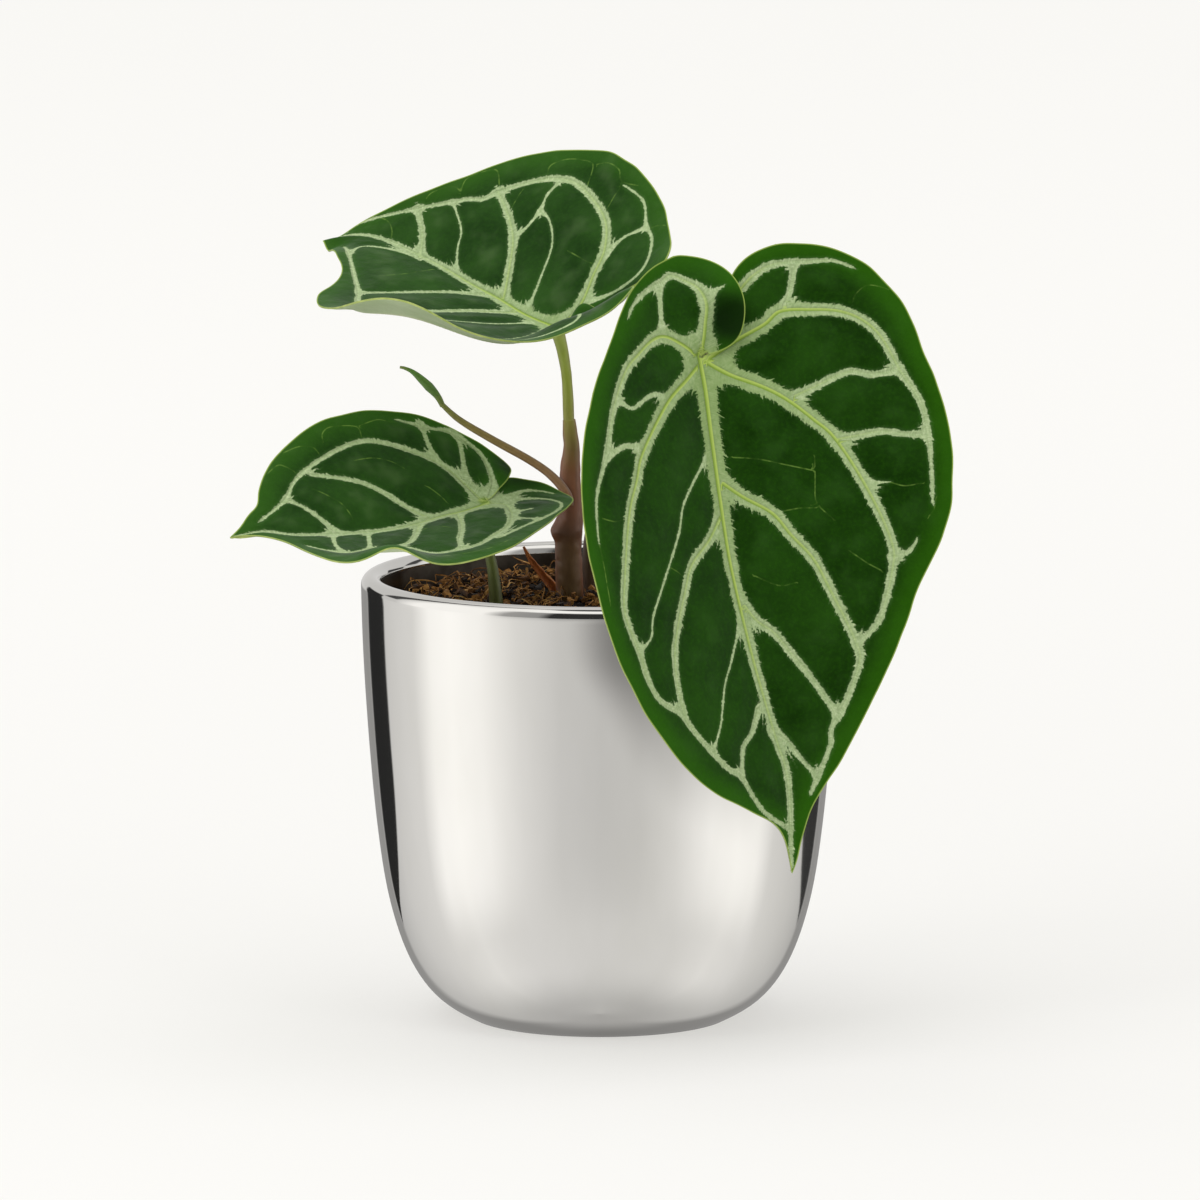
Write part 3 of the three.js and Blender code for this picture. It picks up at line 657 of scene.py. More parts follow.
low_blade["veins"] = [
    (2.3, 0.5, [(1, 0), (3, 8), (4, 16), (6, 25), (7, 36), (6, 48), (3, 63), (-1, 72), (0, 82)]),
    (1.8, 0.5, [(0, 0), (-8, 3), (-14, 6), (-19, 11), (-25, 22), (-26, 31), (-21, 46), (-16, 55), (-10, 61),
        (-5, 71)]),
    (1.6, 0.8, [(3, 21), (-1, 25), (-6, 29), (-10, 33), (-13, 38), (-17, 49)]),
    (1.1, 0.7, [(4, 51), (-1, 53), (-6, 56), (-10, 60)]),
    (1.2, 0.5, [(0, -1), (-5, -5), (-9, -6), (-15, -7), (-20, -6), (-27, -1), (-29, 5), (-33, 14)]),
    (0.9, 0.7, [(-19, 8), (-24, 8), (-31, 7)]),
    (1, 0.6, [(-9, 2), (-15, 0), (-22, -2), (-27, -2)]),
    (1.6, 0.6, [(1, -1), (4, -5), (13, -2), (21, 4), (25, 10), (30, 18), (31, 25), (31, 32), (28, 35),
        (23, 37), (21, 44), (21, 51), (22, 56), (18, 60), (12, 64)]),
    (0.7, 0.4, [(1, -5), (-2, -13), (-1, -19), (1, -22)]),
    (0.8, 0.5, [(2, -4), (2, -13), (5, -19), (10, -20), (16, -14), (23, -1), (28, 10)]),
    (0.5, 0.3, [(11, -3), (10, -10)]),
    (0.5, 0.3, [(16, -2), (19, -7)]),
    (1.5, 1, [(4, 11), (10, 13), (16, 16), (24, 21), (31, 24)]),
    (1.5, 1, [(7, 25), (14, 30), (19, 35), (21, 42)]),
    (0.9, 0.7, [(5, 52), (14, 56), (21, 57)]),
    (0.9, 0.7, [(8, 42), (18, 47), (21, 49)]),
]
low_blade["threads"] = [
    [(-27, 41), (-30, 40), (-32, 37), (-32, 32), (-31, 28), (-28, 28)],
    [(-31, 28), (-32, 25), (-33, 20), (-32, 17), (-32, 14)], [(-26, 54), (-27, 49), (-26, 45), (-24, 44)],
    [(-19, 34), (-19, 28), (-17, 23), (-14, 20)], [(-7, 16), (-6, 15), (-3, 13), (-1, 12)],
    [(-11, 51), (-8, 48), (-4, 45), (1, 44)], [(-20, 62), (-22, 58), (-21, 56), (-19, 54)],
    [(11, 27), (11, 23), (14, 18)], [(31, 8), (35, 16), (36, 26), (35, 36)],
]


def set_frame(blade):
    """The leaf plane at the joint: across the blade, along it to the tip, and up out of its face."""
    along = Vector(blade["to_tip"]).normalized()
    upright = Vector((0, 0, 1)) if abs(along.z) < 0.8 else Vector((0, -1, 0))
    steepest = (upright - along * upright.dot(along)).normalized()
    roll = math.radians(blade["roll"])
    normal = steepest * math.cos(roll) + along.cross(steepest) * math.sin(roll)
    blade["across"] = np.array(normal.cross(along))
    blade["along"] = np.array(along)
    blade["normal"] = np.array(normal)


def under_joint(blade, distance):
    return tuple(np.array(blade["joint"]) - blade["normal"] * distance)


def lift(blade, half, u, v):
    """How far the blade bends out of its plane."""
    shape = blade[half]
    rib = even_line(blade["midrib"], 200)
    away = np.abs(u - np.interp(v, rib[:, 1], rib[:, 0]))
    height = shape["fold"] * (np.hypot(away, FOLD_SOFTNESS) - FOLD_SOFTNESS)
    height += np.where(v > 0, blade.get("droop", 0), blade.get("rise", 0)) * v**2 / 100
    nod, start = blade.get("nod", (0, 0))
    height -= nod * np.maximum(v - start, 0) ** 2 / 100
    if "curl" in shape:
        amount, start, at, reach = shape["curl"]
        height += amount * np.maximum(away - start, 0) ** 2 / 100 * np.exp(-(((v - at) / reach) ** 2))
    fade = 1 - np.exp(-(away**2 + np.minimum(v, 0) ** 2) / 9)
    for at_u, at_v, rise, reach in shape.get("ripples", []):
        height += fade * rise * np.exp(-((u - at_u) ** 2 + (v - at_v) ** 2) / reach**2)
    return height


def to_line(u, v, line):
    """From each place: how far the nearest bit of a line is, how far along it, and on which side."""
    best = np.full(u.shape, 1e9)
    run = np.zeros(u.shape)
    side = np.ones(u.shape)
    done = 0.0
    for (au, av), (bu, bv) in zip(line, line[1:]):
        length = math.hypot(bu - au, bv - av)
        share = np.clip(((u - au) * (bu - au) + (v - av) * (bv - av)) / length**2, 0, 1)
        distance = np.hypot(u - au - share * (bu - au), v - av - share * (bv - av))
        closer = distance < best
        best = np.where(closer, distance, best)
        run = np.where(closer, done + share * length, run)
        side = np.where(closer, np.sign((bu - au) * (v - av) - (bv - av) * (u - au)), side)
        done += length
    return best, run, side


def read_veins(blade, half, u, v):
    """The vein nearest to each place, and how much the band widens there where veins run together."""
    edge, core, thin = (np.full(u.shape, 1e9) for _ in range(3))
    crowd, run, wide, side, across_thin = (np.zeros(u.shape) for _ in range(5))
    webbing = 1 + np.exp(-(u**2 + v**2) / 14**2)
    for number, (start, end, way, *only) in enumerate(blade["veins"]):
        if only and half not in only:
            continue
        distance, along, hand = to_line(u, v, even_line(way, 8 * len(way)))
        here = start + (end - start) * (along / max(along.max(), 1)) ** 0.75
        here = here * blade["vein_girth"]
        crowd += np.exp(-np.clip(distance - here, -6, 30) / webbing)
        closer = distance - here < edge
        edge = np.where(closer, distance - here, edge)
        run = np.where(closer, along + VEIN_SHIFT * number, run)
        wide = np.where(closer, here, wide)
        side = np.where(closer, distance * hand, side)
        if start > 1:
            core = np.minimum(core, distance)
    web = np.clip(-webbing * np.log(crowd) - edge, -2.6, 0)
    for way in blade["threads"]:
        distance, _, hand = to_line(u, v, even_line(way, 6 * len(way)))
        across_thin = np.where(distance < thin, distance * hand, across_thin)
        thin = np.minimum(thin, distance)
    return {
        "edge": edge, "core": core, "run": run, "wide": wide, "side": side, "web": web, "thin": thin,
        "across_thin": across_thin,
    }


def make_half(blade, half, lobe_rows, main_rows, columns):
    shape = blade[half]
    tip = blade["midrib"][-1]
    sinus = even_line([(0, 0)] + shape["sinus"], lobe_rows + 1)
    shoulder = even_line([shape["sinus"][-1]] + shape["shoulder"], lobe_rows + 1)
    flank = even_line([shape["shoulder"][-1]] + shape["flank"] + [tip], main_rows + 1)
    outline = np.vstack([sinus, shoulder[1:], flank[1:]])
    smooth(outline, 8)
    sinus, outer = outline[:lobe_rows + 1][::-1], outline[lobe_rows:]
    inner = np.vstack([sinus, even_line(blade["midrib"], main_rows + 1)[1:]])[:, None]
    ragged = np.array([[noise.noise(Vector((a * 0.11, b * 0.11, at))) for at in (3, 8)] for a, b in outer])
    row = np.arange(len(outer))[:, None]
    outer += RAGGEDNESS * ragged * np.clip(row / 6, 0, 1) * np.clip(row[::-1] / 12, 0, 1)
    share = np.linspace(0, 1, columns + 1)[None, :, None]
    share = share * (1 - 0.25 * (1 - share))
    if half == "right":
        share = share[:, ::-1]
    flat = inner * (1 - share) + outer[:, None] * share
    u, v = flat[..., 0], flat[..., 1]
    margin = np.minimum(to_line(u, v, outer)[0], to_line(u, v, sinus)[0] + 40 * (v > 6))
    veins = read_veins(blade, half, u, v)
    puff = QUILTING * (1 - np.exp(-((np.maximum(veins["edge"], 0) / 4.5) ** 2)))
    puff *= np.clip(margin / 9, 0, 1)
    sunk = VEIN_DEPTH * np.exp(-((veins["core"] / 1.2) ** 2)) * np.clip(margin / 3, 0, 1)
    # Along the midrib both halves follow the left one's bend, so that they weld.
    seam = (share[..., 0] == 0) & (np.arange(len(inner))[:, None] >= lobe_rows)
    seam[-1] = True
    height = np.where(seam, lift(blade, "left", u, v), lift(blade, half, u, v)) + puff - sunk
    piece = lay_grid(half, (
        np.array(blade["joint"])
        + u[..., None] * blade["across"] + v[..., None] * blade["along"]
        + height[..., None] * blade["normal"]
    ))
    slender = 1 - 0.75 * np.clip(v / tip[1], 0, 1)
    to_midrib = to_line(u, v, even_line(blade["midrib"], 120))[0]
    ridge = MIDRIB_HEIGHT * slender * np.exp(-((to_midrib / 1.6) ** 2))
    ridge += VEIN_DEPTH * np.exp(-((np.maximum(veins["edge"], 0) / 0.8) ** 2)) * (veins["wide"] > 0.55)
    for name, values in veins.items():
        keep(piece, name, values)
    keep(piece, "margin", margin)
    keep(piece, "flat", np.stack([u, v, 0 * u], -1), "FLOAT_VECTOR", "vector")
    thinning = RIM_THINNING * (1 - np.clip(margin / 1.8, 0, 1))
    keep(piece, "ridge", ridge * np.clip(margin / 2, 0, 1) - thinning)
    return piece


def thicken(sheet, thickness, offset=-1, under=0, rim=0):
    """Gives a sheet its thickness, with other materials beneath and on the rim."""
    wall = sheet.modifiers.new("thickness", "SOLIDIFY")
    wall.thickness = thickness * MM
    wall.offset = offset
    wall.material_offset = under
    wall.material_offset_rim = rim
    bpy.ops.object.modifier_apply(modifier=wall.name)


def make_blade(name, blade, lobe_rows, main_rows, columns, upper):
    """Both halves welded along the midrib, given their thickness, thin at the rim, ribbed beneath."""
    halves = [make_half(blade, half, lobe_rows, main_rows, columns) for half in ("left", "right")]
    piece = join(name, halves)
    close_up(piece, 2e-5, outwards=False)
    ridge = np.zeros(len(piece.data.vertices), np.float32)
    piece.data.attributes["ridge"].data.foreach_get("value", ridge)
    above = len(ridge)
    for finish in (upper, underside, leaf_rim):
        piece.data.materials.append(finish)
    thicken(piece, BLADE_THICKNESS, under=1, rim=2)
    corners, normals = (np.zeros(3 * len(piece.data.vertices), np.float32) for _ in range(2))
    piece.data.vertices.foreach_get("co", corners)
    piece.data.vertices.foreach_get("normal", normals)
    below = slice(3 * above, 6 * above)
    corners[below] += normals[below] * np.repeat(ridge, 3) * MM
    piece.data.vertices.foreach_set("co", corners)
    round_off(50)
    return piece


def from_joint(tree):
    """The distance from where the petiole meets the blade."""
    flat = marked(tree, "flat", "Vector")
    return add_node(tree, "ShaderNodeVectorMath", {0: flat}, operation="LENGTH").outputs["Value"]


def teeth(tree, scale, lean):
    """Noise that runs along a vein and leans forward on both its sides, for its feathered edge."""
    at = plus(marked(tree, "run"), times(calc("ABSOLUTE", marked(tree, "side")), -lean))
    inputs = {"W": at, "Scale": scale, "Detail": 3.0, "Roughness": 0.65}
    return add_node(tree, "ShaderNodeTexNoise", inputs, noise_dimensions="1D").outputs["Fac"]


def from_band(tree, half_width):
    """The distance outside a band along the nearest vein, negative inside it."""
    aside = minus(calc("ABSOLUTE", marked(tree, "side")), half_width)
    return calc("MAXIMUM", aside, minus(marked(tree, "edge"), 0.6))


def vein_band(tree):
    """How far outside the pale, ragged band each place is, in millimetres."""
    wide = marked(tree, "wide")
    reach = calc("MULTIPLY_ADD", wide, 0.34, 0.2)
    fringe = times(minus(teeth(tree, 1.7, 0.6), 0.5), 1.1)
    spikes = times(spread(teeth(tree, 0.5, 0.8), 0.58, 0.76), 0.8)
    swell = minus(teeth(tree, 0.22, 0.3), 0.55)
    plain = plus(from_band(tree, wide), marked(tree, "web"))
    frayed = minus(plain, times(plus(plus(fringe, spikes), swell), reach))
    dust = times(minus(speckle(tree, 1300, 4, 0.75), 0.5), 3.0)
    return plus(frayed, times(dust, calc("MINIMUM", reach, 1.0)))


def upper_finish(name, dark, middle, bright, sheen_colour, hollow):
    finish, tree, shader = new_finish(name, Roughness=0.45, Specular_IOR_Level=0.05)
    mottle = speckle(tree, 55, 4, 0.6)
    cells = speckle(tree, 900, 3, 0.6)
    flat = marked(tree, "flat", "Vector")
    wide = marked(tree, "wide")
    rim = marked(tree, "margin")
    # The cells between the veins are quilted, and their crowns have a greyer painted sheen.
    quilt = add_node(tree, "ShaderNodeTexNoise", {"Vector": flat, "Scale": 0.1, "Detail": 2.0}).outputs["Fac"]
    painted_sheen = times(spread(quilt, 0.45, 0.72), spread(marked(tree, "edge"), 0.5, 5))
    # One lobe curls over beside the notch; painted shade makes the tissue nearly black in its hollow.
    far = add_node(tree, "ShaderNodeVectorMath", {0: flat, 1: (*hollow, 0)}, operation="DISTANCE")
    painted_shade = spread(far.outputs["Value"], 3, 11, 0.85, 0)
    # Fine veinlets, strong in places and lost in others.
    thread = calc("MAXIMUM", calc("ABSOLUTE", marked(tree, "across_thin")), minus(marked(tree, "thin"), 0.6))
    broken = spread(speckle(tree, 330), 0.4, 0.64, 0.05, 0.65)
    tissue = coats(
        ramp(mottle, (0.32, *dark), (0.68, *middle)),
        (times(painted_sheen, 0.4), sheen_colour),
        (times(spread(cells, 0.4, 0.75), 0.16), bright),
        (times(spread(rim, 1, 9, 1, 0), 0.5), bright),
        (painted_shade, (6, 24, 2)),
        (times(spread(thread, 0.02, 0.3, 1, 0), broken), (112, 146, 64)),
    )
    # The pale bands are ribbed across, and a faint haze lies beside them.
    ribbed = spread(teeth(tree, 2.6, 0.4), 0.3, 0.7)
    pale = coats(
        ramp(
            calc("MULTIPLY_ADD", ribbed, 0.2, times(cells, 0.8)),
            (0.25, 140, 162, 112), (0.5, 168, 188, 138), (0.75, 198, 212, 166),
        ),
        (times(spread(wide, 0.8, 3.2), 0.6), (118, 146, 74)),
        # The painted shade of the curled lobe falls on the pale bands at half strength.
        (times(painted_shade, 0.5), (34, 66, 18)),
    )
    outside = vein_band(tree)
    band = times(spread(outside, -0.14, 0.14, 1, 0), 0.95)
    # A yellow-green cord runs down the middle of each broad band and spreads where the veins meet.
    line = from_band(tree, calc("MULTIPLY_ADD", wide, 0.15, 0.14))
    line = calc("MAXIMUM", line, minus(marked(tree, "core"), 1.0))
    core = times(spread(line, -0.1, 0.16, 1, 0), spread(wide, 0.8, 2.2))
    core = calc("MAXIMUM", core, times(spread(from_joint(tree), 1, 2.6, 1, 0), 0.9))
    # The cord is painted lighter on one side and darker on the other: painted light and shade on a round
    # vein.
    across = calc("DIVIDE", marked(tree, "side"), calc("MULTIPLY_ADD", wide, 0.15, 0.2))
    shaded_cord = ramp(spread(across, -1.1, 1.1), (0.1, 178, 200, 98), (0.9, 120, 148, 48))
    skin = coats(
        tissue,
        (times(spread(outside, 0, 1, 1, 0), 0.15), (96, 132, 74)),
        (band, pale),
        (times(core, 0.9), shaded_cord),
        (times(spread(rim, 0.1, 0.5, 1, 0), 0.8), (158, 180, 88)),
    )
    grain = plus(times(spread(line, -0.2, 0.5), 0.7), times(cells, 0.25))
    grain = minus(grain, times(band, 0.2))
    plug(shader, {
        "Base Color": skin,
        "Roughness": spread(mottle, 0.3, 0.7, 0.4, 0.52),
        "Normal": bumps(calc("MULTIPLY_ADD", quilt, 2.2, grain), 0.0006, 0.7),
    })
    return finish


def lower_finish():
    finish, tree, shader = new_finish("leaf_underside", Roughness=0.5, Specular_IOR_Level=0.35)
    cells = speckle(tree, 800, 3, 0.6)
    skin = coats(
        ramp(speckle(tree, 90, 4, 0.6), (0.3, 176, 194, 146), (0.7, 198, 212, 172)),
        (times(cells, 0.3), (150, 174, 112)),
        (times(spread(marked(tree, "edge"), -0.6, 0.5, 1, 0), 0.75), (212, 220, 176)),
        (spread(from_joint(tree), 3, 7, 1, 0), (112, 128, 62)),
    )
    plug(shader, {"Base Color": skin, "Normal": bumps(cells, 0.0003, 0.5)})
    return finish


def rim_finish():
    finish, tree, shader = new_finish("leaf_margin", Roughness=0.5)
    colour = ramp(speckle(tree, 300), (0.3, 142, 162, 76), (0.7, 190, 202, 116))
    colour = coats(colour, (spread(from_joint(tree), 3, 7, 1, 0), (98, 104, 48)))
    plug(shader, {"Base Color": colour, "Normal": bumps(speckle(tree, 900), 0.0002, 0.4)})
    return finish


underside, leaf_rim = lower_finish(), rim_finish()
# The fourth colour is that of the painted sheen.
# The last pair is the centre of the painted shade in a curled lobe, on the flat blade.
velvet = upper_finish("leaf_velvet", (17, 47, 3), (31, 68, 10), (46, 100, 4), (44, 80, 26), (8.5, -8.5))
silk = upper_finish("leaf_silk", (21, 52, 8), (40, 75, 23), (50, 97, 18), (80, 106, 62), (-11, -17))
for blade in (big_blade, top_blade, low_blade):
    set_frame(blade)
settle(make_blade("big_leaf", big_blade, 44, 160, 70, velvet), "big_blade", "big_blade")
settle(make_blade("top_leaf", top_blade, 38, 120, 66, silk), "top_blade", "top_blade")
settle(make_blade("low_leaf", low_blade, 30, 112, 60, silk), "low_blade", "low_blade")


# Each petiole ends in a small thicker knuckle that carries its blade.
big_route = [
    (-3, 3.5, MIX_FOOT), (-3, 3.5, 126), (-2.6, 3.4, 140), (1, 2, 158), (7.5, -5, 176),
    under_joint(big_blade, 21), under_joint(big_blade, 9), under_joint(big_blade, 1),
]
big_stalk = make_stalk("big_leafstalk", big_route, [2.25, 2.25, 2.2, 1.9, 1.7, 1.6, 1.75, 2.3], 28, 150)
big_skin = stalk_finish(
    "brown_stalk", (96, 66, 54), (0.05, 70, 48, 32), (0.35, 92, 70, 42), (0.65, 112, 100, 50),
    (1, 140, 146, 74),
)
settle(big_stalk, "big_petiole", "big_petiole", finishes=[big_skin])

top_route = [
    (-9.2, -2, 172), (-9.2, -2, 178), (-9.7, -0.5, 188.5), (-10.9, 3.4, 196), under_joint(top_blade, 1),
]
top_stalk = make_stalk("top_leafstalk", top_route, [1.35, 1.65, 1.52, 1.68, 2], 24, 70)
top_skin = stalk_finish(
    "green_stalk", (128, 104, 62), (0.1, 150, 148, 70), (0.5, 160, 172, 66), (1, 176, 190, 90),
    share=0.45, flecks=0.1,
)
settle(top_stalk, "top_petiole", "top_petiole", finishes=[top_skin])

low_route = [
    (-30.2, -21, MIX_FOOT), (-30.2, -21, 125), (-31.8, -20.2, 138), under_joint(low_blade, 9),
    under_joint(low_blade, 1),
]
low_stalk = make_stalk("low_leafstalk", low_route, [2.05, 2, 1.55, 1.5, 2], 24, 90)
low_skin = stalk_finish(
    "olive_stalk", (70, 62, 34), (0.1, 58, 56, 18), (0.4, 92, 100, 36), (0.8, 120, 136, 58),
    (1, 150, 166, 90), flecks=0.2,
)
settle(low_stalk, "low_petiole", "low_petiole", finishes=[low_skin])


# ------------------------------------------------------------------ young leaf
# The newest leaf leans out of the front of the stem on a thin petiole. Its blade is still rolled up
# in a slender green spindle, one margin lapping over the other.
ROLL_ROUNDS = 1.7
ROLL_START = math.radians(200)
ROLL_THICKNESS = 0.14

young_route = [
    (-8.9, -6.9, 151.5), (-9.6, -7, 155), (-13, -5.2, 159.4), (-19.3, -2.5, 164), (-32.5, 0.5, 171),
    (-41.2, 1.5, 176.2), (-46.3, 2, 180.7),
]
young_stalk = make_stalk("young_leafstalk", young_route, [1.2, 1.4, 1.3, 1.2, 1.1, 0.95, 0.72], 20, 110)
young_skin = stalk_finish(
    "young_stalk_skin", (98, 66, 48), (0, 136, 94, 66), (0.45, 138, 110, 62), (0.8, 134, 120, 58),
    (1, 112, 122, 50), flecks=0.15,
)
settle(young_stalk, "young_petiole", "young_petiole", finishes=[young_skin])


def make_sheet(name, route, widths, rows, section, thickness, offset=-1, crinkle=0):
    """A thin sheet along a curved line. Its section is for a width of 1: how far sideways, how deep."""
    spine = even_line(route, rows + 1)
    width = even_steps(widths, rows + 1)
    sideways, depth = side_ways(spine)
    places = np.zeros((rows + 1, len(section), 3))
    for i, k in np.ndindex(places.shape[:2]):
        out = width[i] * (1 + crinkle * noise.noise(Vector((k * 0.35, i * 0.22, 4.0))))
        places[i, k] = spine[i] + (sideways[i] * section[k, 0] + depth[i] * section[k, 1]) * out
    sheet = lay_grid(name, places)
    keep(sheet, "upwards", np.repeat(np.linspace(0, 1, rows + 1), len(section)))
    keep(sheet, "across", np.tile(np.linspace(0, 1, len(section)), rows + 1))
    thicken(sheet, thickness, offset)
    round_off(50)
    return sheet


bud_route = [
    (-45.9, 2, 180.1), (-47.4, 2, 183), (-50.3, 2, 186.3), (-54.4, 2, 190), (-57, 2, 191.3),
    (-58.5, 2, 191.6),
]
share = np.linspace(0, 1, 45)
turn = ROLL_START + share * ROLL_ROUNDS * 2 * math.pi
out = 0.45 + 0.55 * share
rolled = np.stack([np.cos(turn) * out, np.sin(turn) * 0.8 * out], 1)
bud = make_sheet("young_leaf", bud_route, [0.78, 1.05, 1.5, 1.15, 0.6, 0.28], 70, rolled, ROLL_THICKNESS)
bud_green, tree, shader = new_finish("bud_green", Roughness=0.45)
streak = speckle(tree, 600, 4, 0.6)
base = ramp(
    marked(tree, "upwards"), (0, 116, 122, 54), (0.25, 84, 118, 42), (0.8, 84, 128, 44), (1, 126, 134, 64),
)
lip = spread(marked(tree, "across"), 0.93, 0.985)
base = coats(base, (times(spread(streak, 0.4, 0.7), 0.35), (44, 84, 32)), (lip, (176, 190, 110)))
plug(shader, {"Base Color": base, "Normal": bumps(streak, 0.0003, 0.5)})
settle(bud, "young_blade", "young_blade", finishes=[bud_green])


# ------------------------------------------------------------------ dried sheath
# The papery sheath of a leaf long gone, dried orange-brown and curled to a point, stands beside the
# foot of the stem.
HUSK_CURL = math.radians(250)
HUSK_THICKNESS = 0.3
HUSK_CRINKLE = 0.22

sheath_route = [
    (-12.6, 6.5, 117), (-13, 6.5, 124.5), (-17.4, 5, 130.6), (-20.4, 4.4, 134.6), (-22.4, 4, 138.3),
]
turn = HUSK_CURL * (np.linspace(0, 1, 19) - 0.5)
curled = np.stack([np.sin(turn), np.cos(turn) - 1], 1)
sheath = make_sheet("dried_husk", sheath_route, [1.7, 1.6, 1.2, 0.8, 0.2], 60, curled, HUSK_THICKNESS,
                    offset=0, crinkle=HUSK_CRINKLE)
husk, tree, shader = new_finish("dry_husk", Roughness=0.7)
streak = speckle(tree, 500, 4, 0.65, (1, 1, 0.2))
plug(shader, {
    "Base Color": ramp(streak, (0.3, 120, 62, 26), (0.52, 186, 108, 48), (0.75, 222, 160, 96)),
    "Normal": bumps(streak, 0.0004, 0.7),
})
settle(sheath, "dried_sheath", "dried_sheath", finishes=[husk])


# ------------------------------------------------------------------ studio
# A wide pale floor and soft light from above and both sides. A dome of cards, which only gloss shows,
# gives the plating what it mirrors: white walls at the sides, grey ones in front and behind, and a tall
# black flag between them on each side.
DOME_RADIUS = 9
CARD_GLOW = 1.5
FLAG_FROM, FLAG_TO = 129, 151.5
LIGHTS_AIM = 0, 0, 0.15

pick()
bpy.ops.mesh.primitive_circle_add(vertices=96, radius=30, fill_type="NGON")
floor = bpy.context.object
floor.name = "studio_floor"
floor.visible_glossy = False
paper, tree, shader = new_finish("floor_paper", Roughness=1.0, Specular_IOR_Level=0.0)
shader.inputs["Base Color"].default_value = lit((178, 177, 175))
shader.inputs["Emission Color"].default_value = lit((255, 254, 250))
# The paper glows a little more further out, where less of the overhead light reaches it.
place = add_node(tree, "ShaderNodeTexCoord").outputs["Object"]
reach = add_node(tree, "ShaderNodeVectorMath", {0: place}, operation="LENGTH").outputs["Value"]
falling = calc("DIVIDE", 1.0, plus(1.0, calc("POWER", calc("DIVIDE", reach, 1.9), 2.0)))
plug(shader, {"Emission Strength": calc("MULTIPLY_ADD", times(falling, falling), -0.16, 0.612)})
floor.data.materials.append(paper)

bpy.ops.mesh.primitive_uv_sphere_add(segments=48, ring_count=24, radius=DOME_RADIUS)
dome = bpy.context.object
dome.name = "card_dome"
card_paint = bpy.data.materials.new("card_paint")
card_paint.use_nodes = True
tree = card_paint.node_tree
tree.nodes.clear()
place = add_node(tree, "ShaderNodeTexCoord").outputs["Object"]
aim = add_node(tree, "ShaderNodeVectorMath", {0: place}, operation="NORMALIZE").outputs[0]
aim = add_node(tree, "ShaderNodeSeparateXYZ", {"Vector": aim}).outputs
# Degrees from the front (0) to the back (180), less than 0 on the left, and degrees up.
heading = times(calc("ARCTAN2", aim["X"], times(aim["Y"], -1.0)), 180 / math.pi)
turn = calc("ABSOLUTE", heading)
tilt = times(calc("ARCSINE", aim["Z"]), 180 / math.pi)


def greys(*stops):
    """A ramp over the turn, from (degrees, brightness) pairs."""
    return ramp(calc("DIVIDE", turn, 180.0), *(
        (at / 180, v / CARD_GLOW, v / CARD_GLOW * 0.985, v / CARD_GLOW * 0.96, 1) for at, v in stops
    ))


walls = greys((0, 0.79), (20, 0.84), (40, 1.05), (60, 1.38), (78, 1.5), (91, 1.42), (103, 1), (128, 0.83),
              (150, 0.6), (154, 0.36), (180, 0.3))
bowl = greys((0, 0.92), (45, 0.97), (76, 1.11), (100, 1), (130, 0.8), (148, 0.68), (160, 0.34), (180, 0.28))
ground = greys((0, 0.7), (180, 0.56))
ceiling = greys((0, 0.04), (24, 0.04), (30, 0.4), (47, 0.5), (58, 1.4), (100, 1.4), (116, 0.8), (180, 0.72))
zenith = greys((0, 1.4), (90, 1.3), (112, 0.9), (180, 0.9))
# A dim, soft-edged card hangs where the wall beside the big leaf looks: a painted reflection of the big leaf.
low = minus(-12.0, tilt)
card_edge = calc("MULTIPLY_ADD", calc("MULTIPLY_ADD", low, 0.6, 2.6), low, 10.0)
leaf_reflection_card = times(spread(minus(heading, card_edge), -26, 0), spread(tilt, -20, -11, 0, 0.66))
leaf_reflection_card = times(leaf_reflection_card, spread(heading, 75, 100, 1, 0))
seam = times(times(spread(turn, 114, 118), spread(turn, 127, 131, 1, 0)), spread(tilt, 10, 14))
# The black flag narrows to a point at its foot, and more light falls on the right one.
below = calc("MAXIMUM", minus(-12.5, tilt), 0.0)
inner = calc("MULTIPLY_ADD", times(below, below), 0.9, FLAG_FROM)
flag = times(spread(minus(turn, inner), -1, 1), spread(turn, FLAG_TO - 1, FLAG_TO + 1, 1, 0))
flag = times(times(flag, spread(tilt, 9, 12, 1, 0)), spread(heading, -10, 10, 0.985, 0.955))
cards = coats(
    walls,
    (spread(tilt, -36, -17, 1, 0), bowl),
    (leaf_reflection_card, (0.05, 0.048, 0.045, 1)),
    (spread(tilt, -78, -45, 1, 0), ground),
    (spread(tilt, -8, -3), ceiling),
    (spread(tilt, 44, 56), zenith),
    (spread(tilt, 76, 81), (0.06, 0.06, 0.06, 1)),
    (times(seam, 0.95), (0.03, 0.03, 0.03, 1)),
    (flag, (0.012, 0.012, 0.012, 1)),
)
glow = add_node(tree, "ShaderNodeEmission", {"Color": cards, "Strength": CARD_GLOW}).outputs[0]
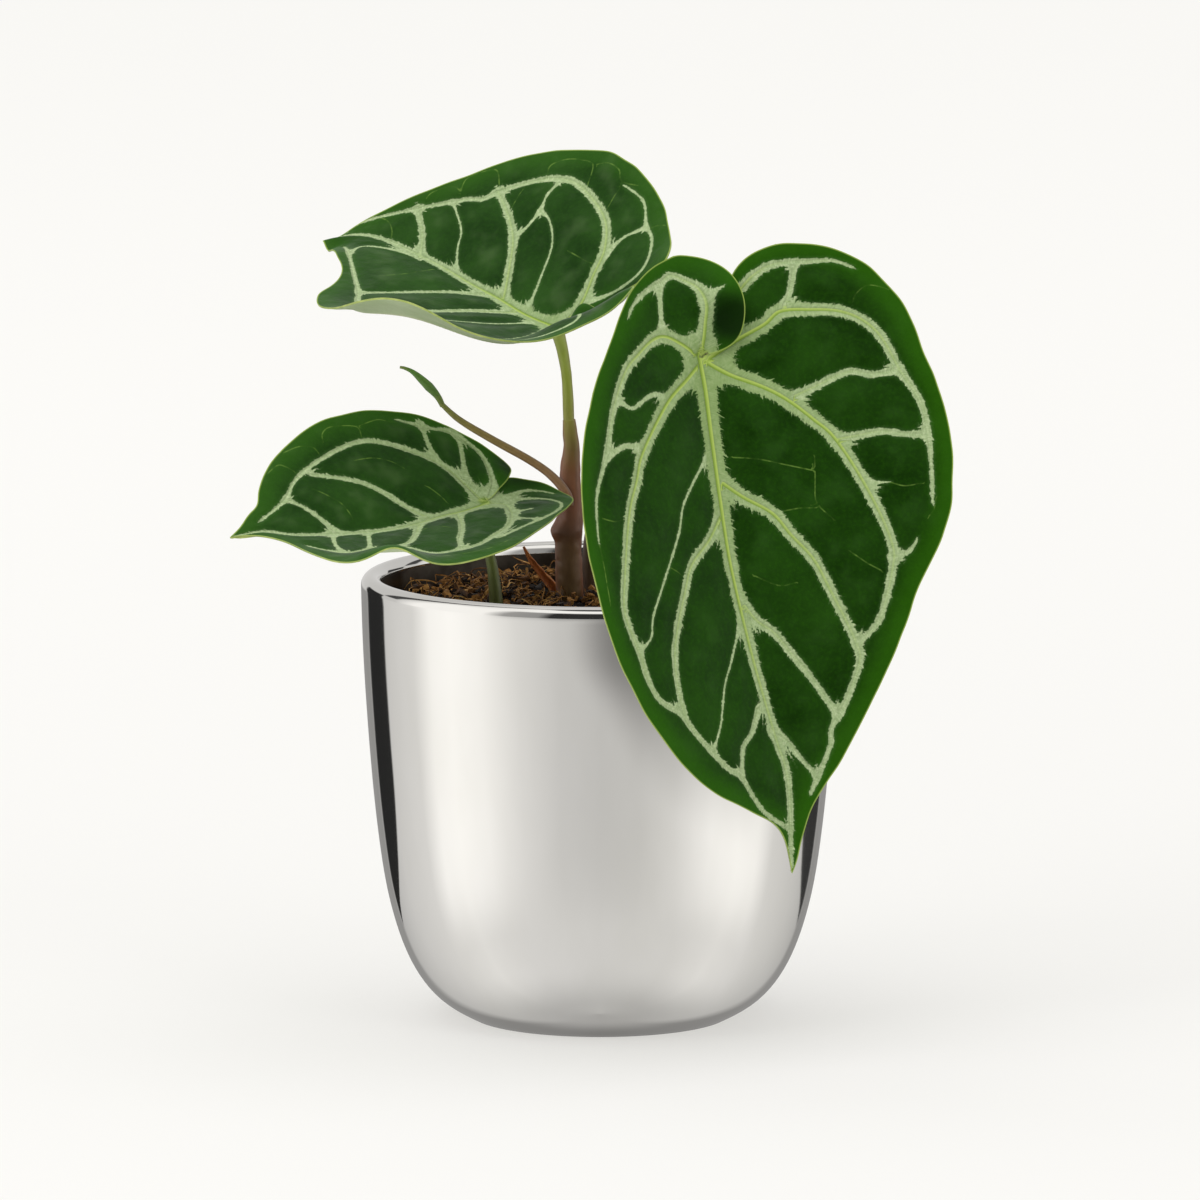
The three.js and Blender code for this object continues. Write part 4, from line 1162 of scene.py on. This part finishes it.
add_node(tree, "ShaderNodeOutputMaterial", {"Surface": glow})
card_paint.cycles.emission_sampling = "NONE"
dome.data.materials.append(card_paint)
for ray in ("camera", "diffuse", "transmission", "volume_scatter", "shadow"):
    setattr(dome, "visible_" + ray, False)

# The plating shows the cards and not the plant.
for piece in bpy.data.objects:
    if piece.name.endswith(("_leaf", "_leafstalk")) or piece.name in ("stem_shaft", "dried_husk"):
        piece.visible_glossy = False


def hang(name, data, at, turn):
    """Puts a lamp or the camera in its place."""
    piece = add_object(name, data)
    piece.location = at
    piece.rotation_euler = turn
    return piece


def add_softbox(name, at, size, power):
    light = bpy.data.lights.new(name, "AREA")
    light.size = size
    light.energy = power
    to_plant = Vector(LIGHTS_AIM) - Vector(at)
    hang(name, light, at, to_plant.to_track_quat("-Z", "Y").to_euler()).visible_glossy = False


add_softbox("overhead_softbox", (-0.3, 0.1, 1.9), 2.2, 16)
add_softbox("left_softbox", (-1.5, -1.3, 1.2), 1.0, 9)
add_softbox("right_softbox", (1.4, -1.6, 1.0), 0.9, 5)

world = bpy.data.worlds.new("studio_air")
world.use_nodes = True
tree = world.node_tree
tree.nodes.clear()
place = add_node(tree, "ShaderNodeTexCoord").outputs["Generated"]
up = add_node(tree, "ShaderNodeSeparateXYZ", {"Vector": place}).outputs["Z"]
seen = add_node(tree, "ShaderNodeLightPath").outputs["Is Camera Ray"]
sky = ramp(up, (0, 0.55, 0.55, 0.55, 1), (0.6, 0.66, 0.66, 0.66, 1), (1, 0.9, 0.9, 0.9, 1))
air = {"Color": coats(sky, (seen, (249, 248, 244))), "Strength": 1.0}
add_node(tree, "ShaderNodeOutputWorld", {"Surface": add_node(tree, "ShaderNodeBackground", air).outputs[0]})
bpy.context.scene.world = world
bpy.context.scene.view_settings.view_transform = "Standard"

camera_data = bpy.data.cameras.new("camera")
camera_data.lens = 368.7
camera_data.sensor_width = 36
camera_turn = math.radians(81.5), 0, 0
bpy.context.scene.camera = hang("camera", camera_data, (0, -3.5605, 0.6552), camera_turn)
